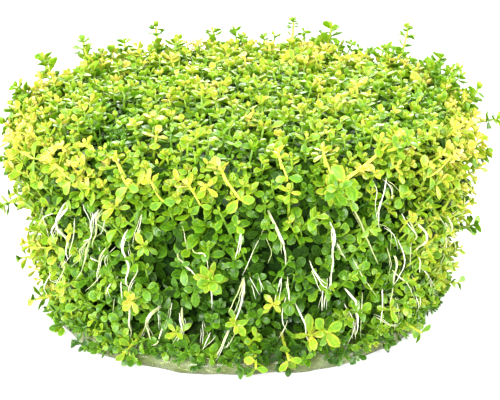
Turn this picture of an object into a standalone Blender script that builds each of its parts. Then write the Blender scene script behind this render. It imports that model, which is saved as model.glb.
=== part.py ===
"""A plug of dwarf baby tears, a carpet plant, as it comes out of the round cup that it grew in.

A cushion of tangled shoots stands on the thin pad of gel that it rooted in. Shoots that outgrew the
cushion stand off its top, its rim and its sides, and white roots run down the sides to the gel. The
origin is the middle of the flat underside of the gel, +Z is up, and the side seen first faces -Y.
"""

import math
import random
from collections import namedtuple

import bpy
import bmesh
from mathutils import Matrix, Vector, noise
from mathutils.bvhtree import BVHTree
from mathutils.kdtree import KDTree

MM = 0.001

# Driving sizes
PLUG_HEIGHT = 33.0 * MM
WIDEST_RADIUS = 33.9 * MM
BASE_RADIUS = 29.6 * MM
GEL_THICKNESS = 2.4 * MM
TOUCH_GAP = 0.3 * MM

# Outline of the leaf mat
MAT_BOTTOM = GEL_THICKNESS + TOUCH_GAP
RIM_START = 27.0 * MM
RIM_WIDTH = 5.0 * MM
DOME_RISE = 1.4 * MM
SIDE_BULGE = 0.8

# Facets and lumps of the leaf mat
MAT_POINTS = 800
MAT_EDGE_POINTS = 54
EDGE_MARGIN = 1.7 * MM
LUMP_SIZE = 9.0 * MM
LUMP_DEPTH = 0.9 * MM
ROSETTE_RISE = 1.1 * MM
GAP_DEPTH = 0.6 * MM
ROUGHNESS = 0.25 * MM
GOLDEN_ANGLE = math.pi * (3.0 - math.sqrt(5.0))

# Leaves fused to the leaf mat, two to a rosette. A leaf takes the first of the spreads that leaves it
# room: 0 points straight out of the mat, and 1 leans at 45 degrees.
MAT_LEAF_LENGTH = 2.7 * MM
MAT_LEAF_WIDTH = 2.0 * MM
MAT_LEAF_NECK = 0.35
LEAF_SPREADS = (1.5, 1.2, 0.9, 0.6)
LEAF_LIFT = 0.3
LEAF_ROOM = 1.2 * MM
LEAF_OFF_MAT = 0.4 * MM
LEAST_UPRIGHT = 0.7
ROOM_ROUND_OTHERS = 1.3 * MM

LOWEST_LEAF = MAT_BOTTOM + 2.5 * MM

# Every leaf: its widest place as a share of its length, its width there and its thickness
BLADE_AT = 0.66
LEAF_WIDTH_SHARE = 0.74
LEAF_THICKNESS = 0.4 * MM

# Hollows in the leaf mat, where its shoots part: the centre, and how wide and how deep each is, all in
# millimetres
Hollow = namedtuple("Hollow", "x y z width depth")

HOLLOWS = [
    Hollow(-7, -13, 33, 4.5, 3.5),
    Hollow(-18.5, -8, 33, 4, 2.5),
    Hollow(-19.5, -20, 32, 4.5, 3.5),
    Hollow(-11, -25, 32, 4, 3),
    Hollow(3.5, -32, 31, 3.5, 2.5),
    Hollow(20, -6, 33, 4, 2),
    Hollow(12, 10, 33, 4, 2.5),
    Hollow(-8, 17, 33, 4, 2.5),
    Hollow(6.5, -31.5, 6, 4.5, 3.5),
    Hollow(12, -31, 10, 3.5, 2.5),
    Hollow(-11, -32.5, 16.5, 4, 3),
    Hollow(3.5, -34, 16, 3.5, 2.5),
    Hollow(-7, -31, 4.5, 3.5, 2.5),
    Hollow(-2.5, -33.5, 12.5, 3.5, 2.5),
    Hollow(-10.5, -33.5, 22, 3.5, 2),
    Hollow(9.5, -33, 18.5, 3.5, 2),
    Hollow(16.5, -31, 24, 3.5, 2.5),
    Hollow(21, -28, 26.5, 3.5, 2),
    Hollow(8, -33.5, 29, 3, 2),
    Hollow(21.5, -26.5, 15, 3.5, 2),
    Hollow(-33, -9, 17, 4, 2.5),
    Hollow(33, 8, 14, 4, 2.5),
    Hollow(24, 24, 18, 4, 3),
    Hollow(3, 34, 12, 4, 3),
    Hollow(-24, 24, 20, 4, 3),
    Hollow(-32, 8, 8, 3.5, 2.5),
    Hollow(14, 31, 24, 3.5, 2.5),
    Hollow(-14, 30, 9, 4, 2.5),
]

# Sprigs, which all point away from the heart of the mat
HEART = Vector((0.0, 0.0, 17.0 * MM))
STEM_RADIUS = 0.26 * MM
STEM_SIDES = 4
NODE_HEIGHT = 0.56 * MM
TIP_LEAF_SHARE = 0.8

# Roots. The allowance widens the room under a root for the corners of its sides, and the checks are
# the places along a segment where that room is tested.
ROOT_SEGMENTS = 5
ROOT_SIDES = 4
ROOT_TAPER = 0.35
CORNER_ALLOWANCE = 1.3
ROOM_CHECKS = 6

# angle: degrees from +X round towards +Y. climb: degrees above the level of HEART, as seen from it.
# length: millimetres of stem. rise: degrees that the tip points above level. pairs: pairs of leaves
# below the two at the tip. leaf: millimetres.
Sprig = namedtuple("Sprig", "angle climb length rise pairs leaf")

BACK_RIM_SPRIGS = [
    Sprig(6, 21, 3.6, 65, 1, 2.0),
    Sprig(26, 24, 4.2, 70, 2, 1.9),
    Sprig(40, 25, 7.5, 84, 3, 1.7),
    Sprig(65, 25, 4.6, 80, 2, 2.2),
    Sprig(76, 25, 5.4, 88, 1, 1.4),
    Sprig(99, 25, 3.4, 80, 1, 1.8),
    Sprig(116, 25, 5.4, 88, 2, 1.8),
    Sprig(127, 25, 3.2, 80, 1, 1.8),
    Sprig(140, 25, 4.0, 85, 2, 1.9),
    Sprig(156, 24, 3.6, 78, 2, 2.3),
    Sprig(172, 22, 2.8, 60, 2, 2.2),
]

SIDE_SPRIGS = [
    Sprig(182, 17, 2.2, 40, 1, 1.9),
    Sprig(187, 0, 2.0, -25, 1, 2.0),
    Sprig(192, -14, 1.8, 0, 1, 1.9),
    Sprig(198, -24, 2.6, 0, 1, 2.0),
    Sprig(240, -24, 2.8, -15, 1, 2.1),
    Sprig(263, -3, 2.0, 30, 1, 2.3),
    Sprig(273, -24, 2.8, -25, 1, 2.0),
    Sprig(281, -23, 3.0, -25, 1, 2.3),
    Sprig(290, -18, 2.4, 10, 1, 2.7),
    Sprig(290, 17, 2.4, 45, 1, 2.3),
    Sprig(307, 24, 5.0, 40, 2, 1.9),
    Sprig(320, -24, 2.6, -15, 1, 1.9),
    Sprig(346, -21, 2.4, 5, 1, 1.8),
    Sprig(351, -7, 2.4, 20, 1, 2.0),
    Sprig(356, 10, 2.0, 25, 1, 1.8),
    Sprig(359, 18, 3.4, 10, 1, 1.7),
]

# The same on the half that faces +Y, with its places worked out by a loop
FAR_SPRIG_COUNT = 8

# Each end of a root is an angle in degrees and a height in millimetres. bow and width: millimetres.
Root = namedtuple("Root", "start end bow width")

NEAR_ROOTS = [
    Root((219, 22), (221, 14), 0.8, 0.5),
    Root((233, 23), (230, 17), 0.4, 0.5),
    Root((241, 21), (242, 12.5), 0.3, 0.8),
    Root((240, 10.5), (238, 3.6), 0.4, 0.5),
    Root((248, 10), (246, 3.6), -1.6, 0.5),
    Root((253, 18.5), (259, 15.5), 0.3, 0.5),
    Root((254, 10), (253, 3.6), 0.6, 0.4),
    Root((270, 15), (267, 8), 0.5, 0.5),
    Root((276, 25), (280, 17), 0.6, 0.6),
    Root((290.5, 23), (291, 13), 0.4, 0.7),
    Root((297.5, 26), (303, 16), -0.8, 0.6),
    Root((297, 12), (300, 5), 0.8, 0.5),
    Root((310, 17), (309, 9), 0.5, 0.6),
    Root((315, 21), (316, 13), 0.4, 0.7),
    Root((330, 19), (334, 10), 0.5, 0.6),
]

FAR_ROOT_COUNT = 5


def outline_point(part, fraction):
    """Radius and height of a point of the mat's outline, from its foot over the rim to its crown."""
    rim_radius = WIDEST_RADIUS - RIM_WIDTH
    shoulder = PLUG_HEIGHT - DOME_RISE
    if part == "side":
        spread = math.sin(fraction * math.pi / 2.0) ** SIDE_BULGE
        radius = BASE_RADIUS + (WIDEST_RADIUS - BASE_RADIUS) * spread
        return radius, MAT_BOTTOM + (RIM_START - MAT_BOTTOM) * fraction
    if part == "rim":
        turn = fraction * math.pi / 2.0
        radius = rim_radius + RIM_WIDTH * math.cos(turn)
        return radius, RIM_START + (shoulder - RIM_START) * math.sin(turn)
    radius = rim_radius * (1.0 - fraction)
    return radius, shoulder + DOME_RISE * (1.0 - (1.0 - fraction) ** 2)


def mat_outline(steps=24):
    """The mat's outline as points from its foot to its crown."""
    points = []
    for part in ("side", "rim", "dome"):
        first = 0 if part == "side" else 1
        for step in range(first, steps + 1):
            points.append(outline_point(part, step / steps))
    return points


class TurnedSurface:
    """The mat's outline turned about +Z, with places on it by the share of its area above them."""

    def __init__(self, outline):
        self.outline = list(reversed(outline))
        self.area = [0.0]
        for (r0, z0), (r1, z1) in zip(self.outline, self.outline[1:]):
            band = math.pi * (r0 + r1) * math.hypot(r1 - r0, z1 - z0)
            self.area.append(self.area[-1] + band)
        self.total = self.area[-1]

    def place(self, area, turn):
        """Point and outward normal where this much of the area lies above."""
        step = 1
        while step < len(self.area) - 1 and self.area[step] < area:
            step += 1
        (r0, z0), (r1, z1) = self.outline[step - 1], self.outline[step]
        share = (area - self.area[step - 1]) / (self.area[step] - self.area[step - 1])
        radius = r0 + (r1 - r0) * share
        height = z0 + (z1 - z0) * share
        slope = Vector((z0 - z1, r1 - r0)).normalized()
        point = Vector((radius * math.cos(turn), radius * math.sin(turn), height))
        normal = Vector((slope.x * math.cos(turn), slope.x * math.sin(turn), slope.y))
        return point, normal


def rosette_centres(bm, fixed, rng):
    """Points of the mesh that stand out as rosettes, no two of them side by side."""
    order = [vert.index for vert in bm.verts if vert.index < fixed]
    rng.shuffle(order)
    centres = set()
    for index in order:
        around = {edge.other_vert(bm.verts[index]).index for edge in bm.verts[index].link_edges}
        if not around & centres:
            centres.add(index)
    return centres


def hollow_depth(point):
    """How far the mat is set back here by the hollow round this point, deepest at its centre."""
    depth = 0.0
    for hollow in HOLLOWS:
        centre = Vector((hollow.x, hollow.y, hollow.z)) * MM
        apart = (point - centre).length / (hollow.width * MM)
        if apart < 1.0:
            depth = max(depth, hollow.depth * MM * (1.0 - apart ** 2) ** 2)
    return depth


def mat_surface(rng):
    """The closed, faceted surface of the mat: rosettes, lumps, hollows and a flat underside."""
    surface = TurnedSurface(mat_outline())
    foot_area = math.pi * BASE_RADIUS ** 2
    whole = surface.total + foot_area
    edge_area = surface.total - 2.0 * math.pi * BASE_RADIUS * EDGE_MARGIN
    bm = bmesh.new()
    places = []

    def add(area, turn):
        height = 1.0 - 2.0 * area / whole
        radius = math.sqrt(1.0 - height * height)
        bm.verts.new((radius * math.cos(turn), radius * math.sin(turn), height))
        places.append(surface.place(area, turn))

    for i in range(MAT_POINTS):
        add(edge_area * (i + 0.5) / MAT_POINTS, i * GOLDEN_ANGLE)
    for i in range(MAT_EDGE_POINTS):
        add(surface.total, 2.0 * math.pi * i / MAT_EDGE_POINTS)
    bmesh.ops.convex_hull(bm, input=bm.verts)
    bm.verts.ensure_lookup_table()
    bm.verts.index_update()
    centres = rosette_centres(bm, MAT_POINTS, rng)
    for vert, (point, normal) in zip(bm.verts, places):
        vert.co = point
        if vert.index < MAT_POINTS:
            rise = ROSETTE_RISE if vert.index in centres else -GAP_DEPTH
            rise += noise.noise(point / LUMP_SIZE) * LUMP_DEPTH - hollow_depth(point)
            vert.co += normal * (rise + rng.uniform(-ROUGHNESS, ROUGHNESS))
    bmesh.ops.triangulate(bm, faces=bm.faces)
    bmesh.ops.recalc_face_normals(bm, faces=bm.faces)
    return bm, sorted(centres)


def bulging_side(bm, corners, core):
    """Two triangles over four corners, folded along the diagonal that is further from the core."""
    first, second, third, fourth = corners
    one_way = (first.co + third.co) * 0.5 - core
    other_way = (second.co + fourth.co) * 0.5 - core
    if one_way.length >= other_way.length:
        bm.faces.new((first, second, third))
        bm.faces.new((first, third, fourth))
    else:
        bm.faces.new((first, second, fourth))
        bm.faces.new((second, third, fourth))


def grow_leaf(bm, face, along, across, length, width, neck):
    """Grow one leaf out of a face and keep the mesh closed: a neck or none, a wide flat blade, a tip."""
    ring = list(face.verts)
    centre = face.calc_center_median()
    flat = along.cross(across).normalized()
    across = flat.cross(along).normalized()
    offsets = [vert.co - centre for vert in ring]
    half_width = max(abs(offset.dot(across)) for offset in offsets)
    half_depth = max(abs(offset.dot(flat)) for offset in offsets)
    levels = [ring]
    if neck:
        narrow = [centre + offset * neck + along * length * 0.1 for offset in offsets]
        levels.append([bm.verts.new(place) for place in narrow])
    blade = []
    for offset in offsets:
        wide = across * (offset.dot(across) / half_width * width * 0.5)
        thin = flat * (offset.dot(flat) / half_depth * LEAF_THICKNESS * 0.5)
        blade.append(bm.verts.new(centre + wide + thin + along * length * BLADE_AT))
    levels.append(blade)
    tip = bm.verts.new(centre + along * length)
    bm.faces.remove(face)
    count = len(ring)
    for low, high in zip(levels, levels[1:]):
        core = sum((vert.co for vert in low + high), Vector()) / (2 * count)
        for i in range(count):
            j = (i + 1) % count
            bulging_side(bm, (low[i], low[j], high[j], high[i]), core)
    for i in range(count):
        bm.faces.new((blade[i], blade[(i + 1) % count], tip))


def clear_of(point, keep_out, distance):
    """True where no kept-out point is within this distance."""
    return all((point - other).length > distance for other in keep_out)


def facing_pair(centre):
    """The two triangles round a rosette's centre that face away from each other most."""
    middles = [(face, face.calc_center_median() - centre.co) for face in centre.link_faces]
    pairs = []
    for i, (first, out) in enumerate(middles):
        for second, other in middles[i + 1:]:
            pairs.append((out.normalized().dot(other.normalized()), first, second))
    return min(pairs, key=lambda pair: pair[0])[1:]


def leaf_points(root, along, across, length, width):
    """The lower part, the middle, both shoulders and the tip of a leaf."""
    middle = root + along * length * BLADE_AT
    half = across * width * 0.5
    return [root.lerp(middle, 0.5), middle, middle - half, middle + half, root + along * length]


def stays_off(tree, points, distance):
    """True where every point is outside the mat by this distance or more."""
    for point in points:
        met, normal, index, gap = tree.find_nearest(point)
        if gap < distance or (point - met).dot(normal) < 0.0:
            return False
    return True


def corners_of(things):
    """The corners of these objects, as a tree that finds the nearest one to a point."""
    corners = [vertex.co for thing in things for vertex in thing.data.vertices]
    nearest = KDTree(len(corners))
    for i, corner in enumerate(corners):
        nearest.insert(corner, i)
    nearest.balance()
    return nearest


def grow_mat_leaves(bm, centres, tree, others, rng):
    """Grow pairs of leaves out of rosettes all over the mat, where the other pieces leave room."""
    bm.verts.ensure_lookup_table()
    rosettes = [bm.verts[index] for index in centres]
    rng.shuffle(rosettes)
    taken = []
    for centre in rosettes:
        normal = sum((face.normal for face in centre.link_faces), Vector()).normalized()
        lift = Vector((0.0, 0.0, LEAF_LIFT * (1.0 - abs(normal.z))))
        for face in facing_pair(centre):
            middle = face.calc_center_median()
            if middle.z < LOWEST_LEAF:
                continue
            out = (middle - centre.co).normalized()
            across = out.cross(normal).normalized()
            size = rng.uniform(0.85, 1.15)
            length, width = MAT_LEAF_LENGTH * size, MAT_LEAF_WIDTH * size
            for spread in LEAF_SPREADS:
                along = (normal + out * spread + lift).normalized()
                if along.dot(face.normal) < LEAST_UPRIGHT:
                    continue
                points = leaf_points(middle, along, across, length, width)
                apart = all(clear_of(point, taken, LEAF_ROOM) for point in points)
                apart = apart and all(others.find(point)[2] > ROOM_ROUND_OTHERS for point in points)
                if apart and stays_off(tree, points, LEAF_OFF_MAT):
                    grow_leaf(bm, face, along, across, length, width, MAT_LEAF_NECK)
                    taken += points
                    break
    bmesh.ops.triangulate(bm, faces=bm.faces)
    bmesh.ops.recalc_face_normals(bm, faces=bm.faces)


def direction_of(angle, climb):
    """Unit vector at an angle about +Z and a climb above level, both in degrees."""
    turn, lift = math.radians(angle), math.radians(climb)
    level = math.cos(lift)
    return Vector((level * math.cos(turn), level * math.sin(turn), math.sin(lift)))


def surface_towards(tree, origin, outward):
    """Where the mat's surface is met on the way in to origin from far outside."""
    reach = 3.0 * WIDEST_RADIUS
    point, normal, index, distance = tree.ray_cast(origin + outward * reach, -outward)
    return point


def tube_mesh(path, radii, sides, side):
    """A closed tube along a path with flat ends, and its faces by segment and side."""
    bm = bmesh.new()
    rings = []
    for i, (point, radius) in enumerate(zip(path, radii)):
        before, after = path[max(i - 1, 0)], path[min(i + 1, len(path) - 1)]
        along = (after - before).normalized()
        first = (side - along * side.dot(along)).normalized()
        second = along.cross(first)
        ring = []
        for k in range(sides):
            turn = 2.0 * math.pi * (k + 0.5) / sides
            offset = first * math.cos(turn) + second * math.sin(turn)
            ring.append(bm.verts.new(point + offset * radius))
        rings.append(ring)
    segments = []
    for low, high in zip(rings, rings[1:]):
        faces = []
        for k in range(sides):
            m = (k + 1) % sides
            faces.append(bm.faces.new((low[k], low[m], high[m], high[k])))
        segments.append(faces)
    bm.faces.new(tuple(reversed(rings[0])))
    bm.faces.new(tuple(rings[-1]))
    return bm, segments


def as_object(bm, name):
    """Put a mesh under construction in the scene as an object."""
    mesh = bpy.data.meshes.new(name)
    bm.to_mesh(mesh)
    bm.free()
    thing = bpy.data.objects.new(name, mesh)
    bpy.context.scene.collection.objects.link(thing)
    return thing


def stem_curve(tree, sprig):
    """The stem's start, bend and end: straight out of the mat at first, and then towards its rise."""
    foot = surface_towards(tree, HEART, direction_of(sprig.angle, sprig.climb))
    out = direction_of(sprig.angle, 0.4 * sprig.climb + 0.3 * sprig.rise)
    end = direction_of(sprig.angle, sprig.rise)
    start = foot + out * (TOUCH_GAP + STEM_RADIUS)
    bend = start + out * sprig.length * 0.5 * MM
    return start, bend, bend + end * sprig.length * 0.5 * MM


def make_sprig(name, tree, sprig, rng):
    """One sprig: a bent stem with crossed pairs of leaves, the last two of them at its tip."""
    start, bend, end = stem_curve(tree, sprig)
    half_node = 0.5 * NODE_HEIGHT / (sprig.length * MM)
    lowest = 0.5 if sprig.pairs == 1 else 0.35
    nodes = []
    for k in range(sprig.pairs + 1):
        nodes.append(lowest + (1.0 - half_node - lowest) * k / sprig.pairs)
    shares = [0.0]
    for node in nodes:
        shares += [node - half_node, node + half_node]
    path = [start.lerp(bend, share).lerp(bend.lerp(end, share), share) for share in shares]
    radii = [STEM_RADIUS * (1.1 - 0.3 * share) for share in shares]
    stem = (path[-1] - path[1]).normalized()
    side = stem.cross(direction_of(sprig.angle + 60.0, 30.0)).normalized()
    side.rotate(Matrix.Rotation(rng.uniform(-0.4, 0.4), 3, stem))
    bm, segments = tube_mesh(path, radii, STEM_SIDES, side)
    bmesh.ops.recalc_face_normals(bm, faces=bm.faces)
    for k in range(len(nodes)):
        size = TIP_LEAF_SHARE if k == sprig.pairs else 1.0
        for face in (segments[2 * k + 1][k % 2], segments[2 * k + 1][k % 2 + 2]):
            out = face.normal.copy()
            along = (out + stem * rng.uniform(0.45, 0.75)).normalized()
            length = sprig.leaf * MM * size * rng.uniform(0.9, 1.1)
            grow_leaf(bm, face, along, stem.cross(out), length, length * LEAF_WIDTH_SHARE, None)
    bmesh.ops.triangulate(bm, faces=bm.faces)
    bmesh.ops.recalc_face_normals(bm, faces=bm.faces)
    return as_object(bm, name)


def lifted_clear(tree, path, clearance):
    """Move the points of a path out from the axis until it clears the mat all along."""
    for attempt in range(12):
        worst = 0.0
        for i in range(len(path) - 1):
            for step in range(ROOM_CHECKS):
                point = path[i].lerp(path[i + 1], (step + 0.5) / ROOM_CHECKS)
                out = Vector((point.x, point.y, 0.0)).normalized()
                met = surface_towards(tree, Vector((0.0, 0.0, point.z)), out)
                short = clearance - (point - met).dot(out)
                worst = max(worst, short)
                if short > 0.0:
                    path[i] += out * short * 0.7
                    path[i + 1] += out * short * 0.7
        if worst < 0.01 * MM:
            break
    return path


def root_path(tree, root):
    """The route of a root down the side of the mat."""
    clearance = TOUCH_GAP + 0.5 * root.width * MM * CORNER_ALLOWANCE
    path = []
    for step in range(ROOT_SEGMENTS + 1):
        share = step / ROOT_SEGMENTS
        angle = root.start[0] + (root.end[0] - root.start[0]) * share
        angle += math.degrees(root.bow * MM / WIDEST_RADIUS) * math.sin(math.pi * share)
        height = (root.start[1] + (root.end[1] - root.start[1]) * share) * MM
        out = direction_of(angle, 0.0)
        met = surface_towards(tree, Vector((0.0, 0.0, height)), out)
        path.append(met + out * clearance)
    return lifted_clear(tree, path, clearance)


def make_root(name, tree, root):
    """One white root, thinner towards its lower end."""
    radius = 0.5 * root.width * MM
    radii = [radius * (1.0 - ROOT_TAPER * step / ROOT_SEGMENTS) for step in range(ROOT_SEGMENTS + 1)]
    out = direction_of(root.start[0], 0.0)
    bm, segments = tube_mesh(root_path(tree, root), radii, ROOT_SIDES, out)
    bmesh.ops.triangulate(bm, faces=bm.faces)
    bmesh.ops.recalc_face_normals(bm, faces=bm.faces)
    return as_object(bm, name)


def gel_radius(turn):
    """Radius of the gel's edge, which waves in and out round the cup's floor."""
    wave = 0.45 * math.sin(5.0 * turn + 0.7) + 0.35 * math.sin(11.0 * turn + 2.1)
    return BASE_RADIUS + wave * MM


def make_gel_pad():
    """The pad of gel: flat below and above, with a rounded edge that waves."""
    count = 48
    rings_at = [(-0.7 * MM, 0.0), (-0.1 * MM, 0.5 * MM), (0.0, 1.3 * MM), (-0.4 * MM, GEL_THICKNESS)]
    bm = bmesh.new()
    rings = []
    for inset, height in rings_at:
        ring = []
        for i in range(count):
            turn = 2.0 * math.pi * i / count
            radius = gel_radius(turn) + inset
            ring.append(bm.verts.new((radius * math.cos(turn), radius * math.sin(turn), height)))
        rings.append(ring)
    for low, high in zip(rings, rings[1:]):
        for i in range(count):
            j = (i + 1) % count
            bm.faces.new((low[i], low[j], high[j], high[i]))
    bm.faces.new(tuple(reversed(rings[0])))
    bm.faces.new(tuple(rings[-1]))
    bmesh.ops.triangulate(bm, faces=bm.faces)
    return as_object(bm, "gel_pad")


def far_sprigs():
    """Sprigs on the half that faces +Y, spread by the golden section."""
    sprigs = []
    for i in range(FAR_SPRIG_COUNT):
        angle = 12.0 + 156.0 * ((i * 0.618) % 1.0)
        climb = -24.0 + 34.0 * (i + 0.5) / FAR_SPRIG_COUNT
        length = 1.8 + 0.4 * (i % 3)
        rise = 10.0 * (3 * i % 5)
        leaf = 1.8 + 0.25 * (2 * i % 3)
        sprigs.append(Sprig(angle, climb, length, rise, 1, leaf))
    return sprigs


def far_roots():
    """Roots on the half that faces +Y, evenly spread."""
    roots = []
    for i in range(FAR_ROOT_COUNT):
        angle = 20.0 + 140.0 * (i + 0.5) / FAR_ROOT_COUNT
        top = 20.0 - 4.0 * (i % 3)
        roots.append(Root((angle, top), (angle + 2.0, top - 8.0), 0.5, 0.6))
    return roots


def finish(name, colour, roughness):
    """A material with one colour and roughness, and nothing metallic."""
    material = bpy.data.materials.new(name)
    material.use_nodes = True
    shader = material.node_tree.nodes["Principled BSDF"]
    shader.inputs["Base Color"].default_value = (*colour, 1.0)
    shader.inputs["Roughness"].default_value = roughness
    shader.inputs["Metallic"].default_value = 0.0
    return material


def main():
    for thing in list(bpy.data.objects):
        bpy.data.objects.remove(thing)
    leaf_green = finish("leaf green", (0.20, 0.42, 0.03), 0.55)
    sprig_green = finish("sprig green", (0.36, 0.58, 0.04), 0.5)
    root_white = finish("root white", (0.86, 0.87, 0.74), 0.45)
    gel_clear = finish("gel", (0.55, 0.60, 0.42), 0.15)

    rng = random.Random(31)
    bm, centres = mat_surface(rng)
    tree = BVHTree.FromBMesh(bm)

    sprigs = BACK_RIM_SPRIGS + SIDE_SPRIGS + far_sprigs()
    roots = NEAR_ROOTS + far_roots()
    others = []
    for i, sprig in enumerate(sprigs, 1):
        thing = make_sprig(f"sprig_{i:02d}", tree, sprig, rng)
        thing.data.materials.append(sprig_green)
        others.append(thing)
    for i, root in enumerate(roots, 1):
        thing = make_root(f"root_{i:02d}", tree, root)
        thing.data.materials.append(root_white)
        others.append(thing)

    grow_mat_leaves(bm, centres, tree, corners_of(others), rng)
    mat = as_object(bm, "leaf_mat")
    mat.data.materials.append(leaf_green)
    gel = make_gel_pad()
    gel.data.materials.append(gel_clear)


main()
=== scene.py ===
"""The looks of a plug of dwarf baby tears: its leaves, stems, roots and gel, grown round its solids.

Every shoot is grown down from its tip, which lies on the outline of the leaf mat. A shoot bears
crossed pairs of leaves, small and upright at the tip and larger and spreading below it. Leaves,
stems and roots are closed meshes, gathered into one piece for each part of the plug.
"""

import math
import random
from collections import namedtuple

import bpy
import numpy as np
from mathutils import Matrix, Vector, noise
from mathutils.kdtree import KDTree


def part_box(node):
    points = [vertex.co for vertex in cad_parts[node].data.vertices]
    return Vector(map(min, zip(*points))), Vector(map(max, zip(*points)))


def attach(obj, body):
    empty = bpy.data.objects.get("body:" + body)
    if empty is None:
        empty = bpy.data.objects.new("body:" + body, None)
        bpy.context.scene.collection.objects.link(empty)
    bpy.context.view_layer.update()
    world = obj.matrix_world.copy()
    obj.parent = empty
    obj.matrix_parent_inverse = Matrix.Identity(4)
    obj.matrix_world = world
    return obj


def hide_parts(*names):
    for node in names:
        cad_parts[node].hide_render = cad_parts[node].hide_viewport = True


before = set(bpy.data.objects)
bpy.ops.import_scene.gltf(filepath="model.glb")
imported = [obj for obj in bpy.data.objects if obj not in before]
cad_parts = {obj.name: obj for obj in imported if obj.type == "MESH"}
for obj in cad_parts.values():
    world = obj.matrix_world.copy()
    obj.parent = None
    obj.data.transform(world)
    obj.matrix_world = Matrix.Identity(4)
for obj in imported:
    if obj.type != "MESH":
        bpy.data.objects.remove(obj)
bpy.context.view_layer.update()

MM = 0.001
UP = Vector((0.0, 0.0, 1.0))
GOLDEN_ANGLE = math.pi * (3.0 - math.sqrt(5.0))
GOLDEN_SECTION = 0.618

# One seed for the scatter and for the noise, which would otherwise change from run to run
SEED = 5
noise.seed_set(SEED)

# Sizes of the solids
mat_low, mat_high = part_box("leaf_mat")
gel_low, gel_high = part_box("gel_pad")
GEL_TOP = gel_high.z
GEL_RADIUS = (gel_high.x - gel_low.x) / 2.0
MAT_BOTTOM = mat_low.z
MAT_REACH = (mat_high.x - mat_low.x) / 2.0
MAT_TOP = mat_high.z

# Outline that the tips of the shoots follow
TIP_FOOT_RADIUS = GEL_RADIUS + 0.6 * MM
TIP_WIDEST_RADIUS = MAT_REACH - 0.8 * MM
TIP_CROWN = MAT_TOP - 0.9 * MM
RIM_START = 27.0 * MM
RIM_WIDTH = 5.0 * MM
DOME_RISE = 1.4 * MM
SIDE_BULGE = 0.8
OUTLINE_STEPS = 24

# Camera
CAMERA_PLACE = Vector((0.9, -275.0, 108.2)) * MM
CAMERA_TILT = math.radians(90.0 - 18.59)
CAMERA_LENS = 137.9


def outline_point(part, fraction):
    """Radius and height of a point of the outline, from its foot over the rim to its crown."""
    rim_radius = TIP_WIDEST_RADIUS - RIM_WIDTH
    shoulder = TIP_CROWN - DOME_RISE
    if part == "side":
        spread = math.sin(fraction * math.pi / 2.0) ** SIDE_BULGE
        radius = TIP_FOOT_RADIUS + (TIP_WIDEST_RADIUS - TIP_FOOT_RADIUS) * spread
        return radius, MAT_BOTTOM + (RIM_START - MAT_BOTTOM) * fraction
    if part == "rim":
        turn = fraction * math.pi / 2.0
        return rim_radius + RIM_WIDTH * math.cos(turn), RIM_START + (shoulder - RIM_START) * math.sin(turn)
    return rim_radius * (1.0 - fraction), shoulder + DOME_RISE * (1.0 - (1.0 - fraction) ** 2)


def turned(radius, height, turn):
    """The point at this radius and height, at an angle about +Z."""
    return Vector((radius * math.cos(turn), radius * math.sin(turn), height))


def scatter(rng, reach=1.0):
    """A random vector that goes this far each way along each axis."""
    return Vector((rng.uniform(-reach, reach) for axis in range(3)))


def tube_faces(rings, count, first=0):
    """Triangles of a closed tube: rings of corners, then a point before the first and one past the last."""
    faces = []
    start, last = first + rings * count, first + (rings - 1) * count
    for a in range(first, last):
        b = a + 1 if (a - first + 1) % count else a + 1 - count
        faces += [(a, b, b + count), (a, b + count, a + count)]
    for i in range(count):
        j = (i + 1) % count
        faces += [(first + j, first + i, start), (last + i, last + j, start + 1)]
    return faces


class TurnedSurface:
    """The outline turned about +Z, with places on it by how much of its area lies above them."""

    def __init__(self, steps):
        points = []
        for part in ("side", "rim", "dome"):
            first = 0 if part == "side" else 1
            points += [outline_point(part, step / steps) for step in range(first, steps + 1)]
        self.outline = list(reversed(points))
        self.area = [0.0]
        for (r0, z0), (r1, z1) in zip(self.outline, self.outline[1:]):
            self.area.append(self.area[-1] + math.pi * (r0 + r1) * math.hypot(r1 - r0, z1 - z0))
        self.total = self.area[-1]

    def place(self, area, turn):
        """Point and outward normal where this much of the area lies above."""
        step = 1
        while step < len(self.area) - 1 and self.area[step] < area:
            step += 1
        (r0, z0), (r1, z1) = self.outline[step - 1], self.outline[step]
        share = (area - self.area[step - 1]) / (self.area[step] - self.area[step - 1])
        radius = r0 + (r1 - r0) * share
        height = z0 + (z1 - z0) * share
        slope = Vector((z0 - z1, r1 - r0)).normalized()
        return turned(radius, height, turn), turned(slope.x, slope.y, turn)


surface = TurnedSurface(OUTLINE_STEPS)


# Leaves

RIM_ANGLE = math.radians(75.0)
LEAF_CLEARANCE = 0.1 * MM
TOP_SWELL = 0.25
UNDER_SWELL = -0.75
LEAF_STATIONS = (0.14, 0.38, 0.66, 0.9)
SMALL_LEAF_STATIONS = (0.2, 0.54, 0.87)


def half_width_at(share):
    """Half the width of a leaf at a share of its length, where 1 is its widest."""
    return math.sin(math.pi * share ** 1.55) ** 0.7


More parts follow.
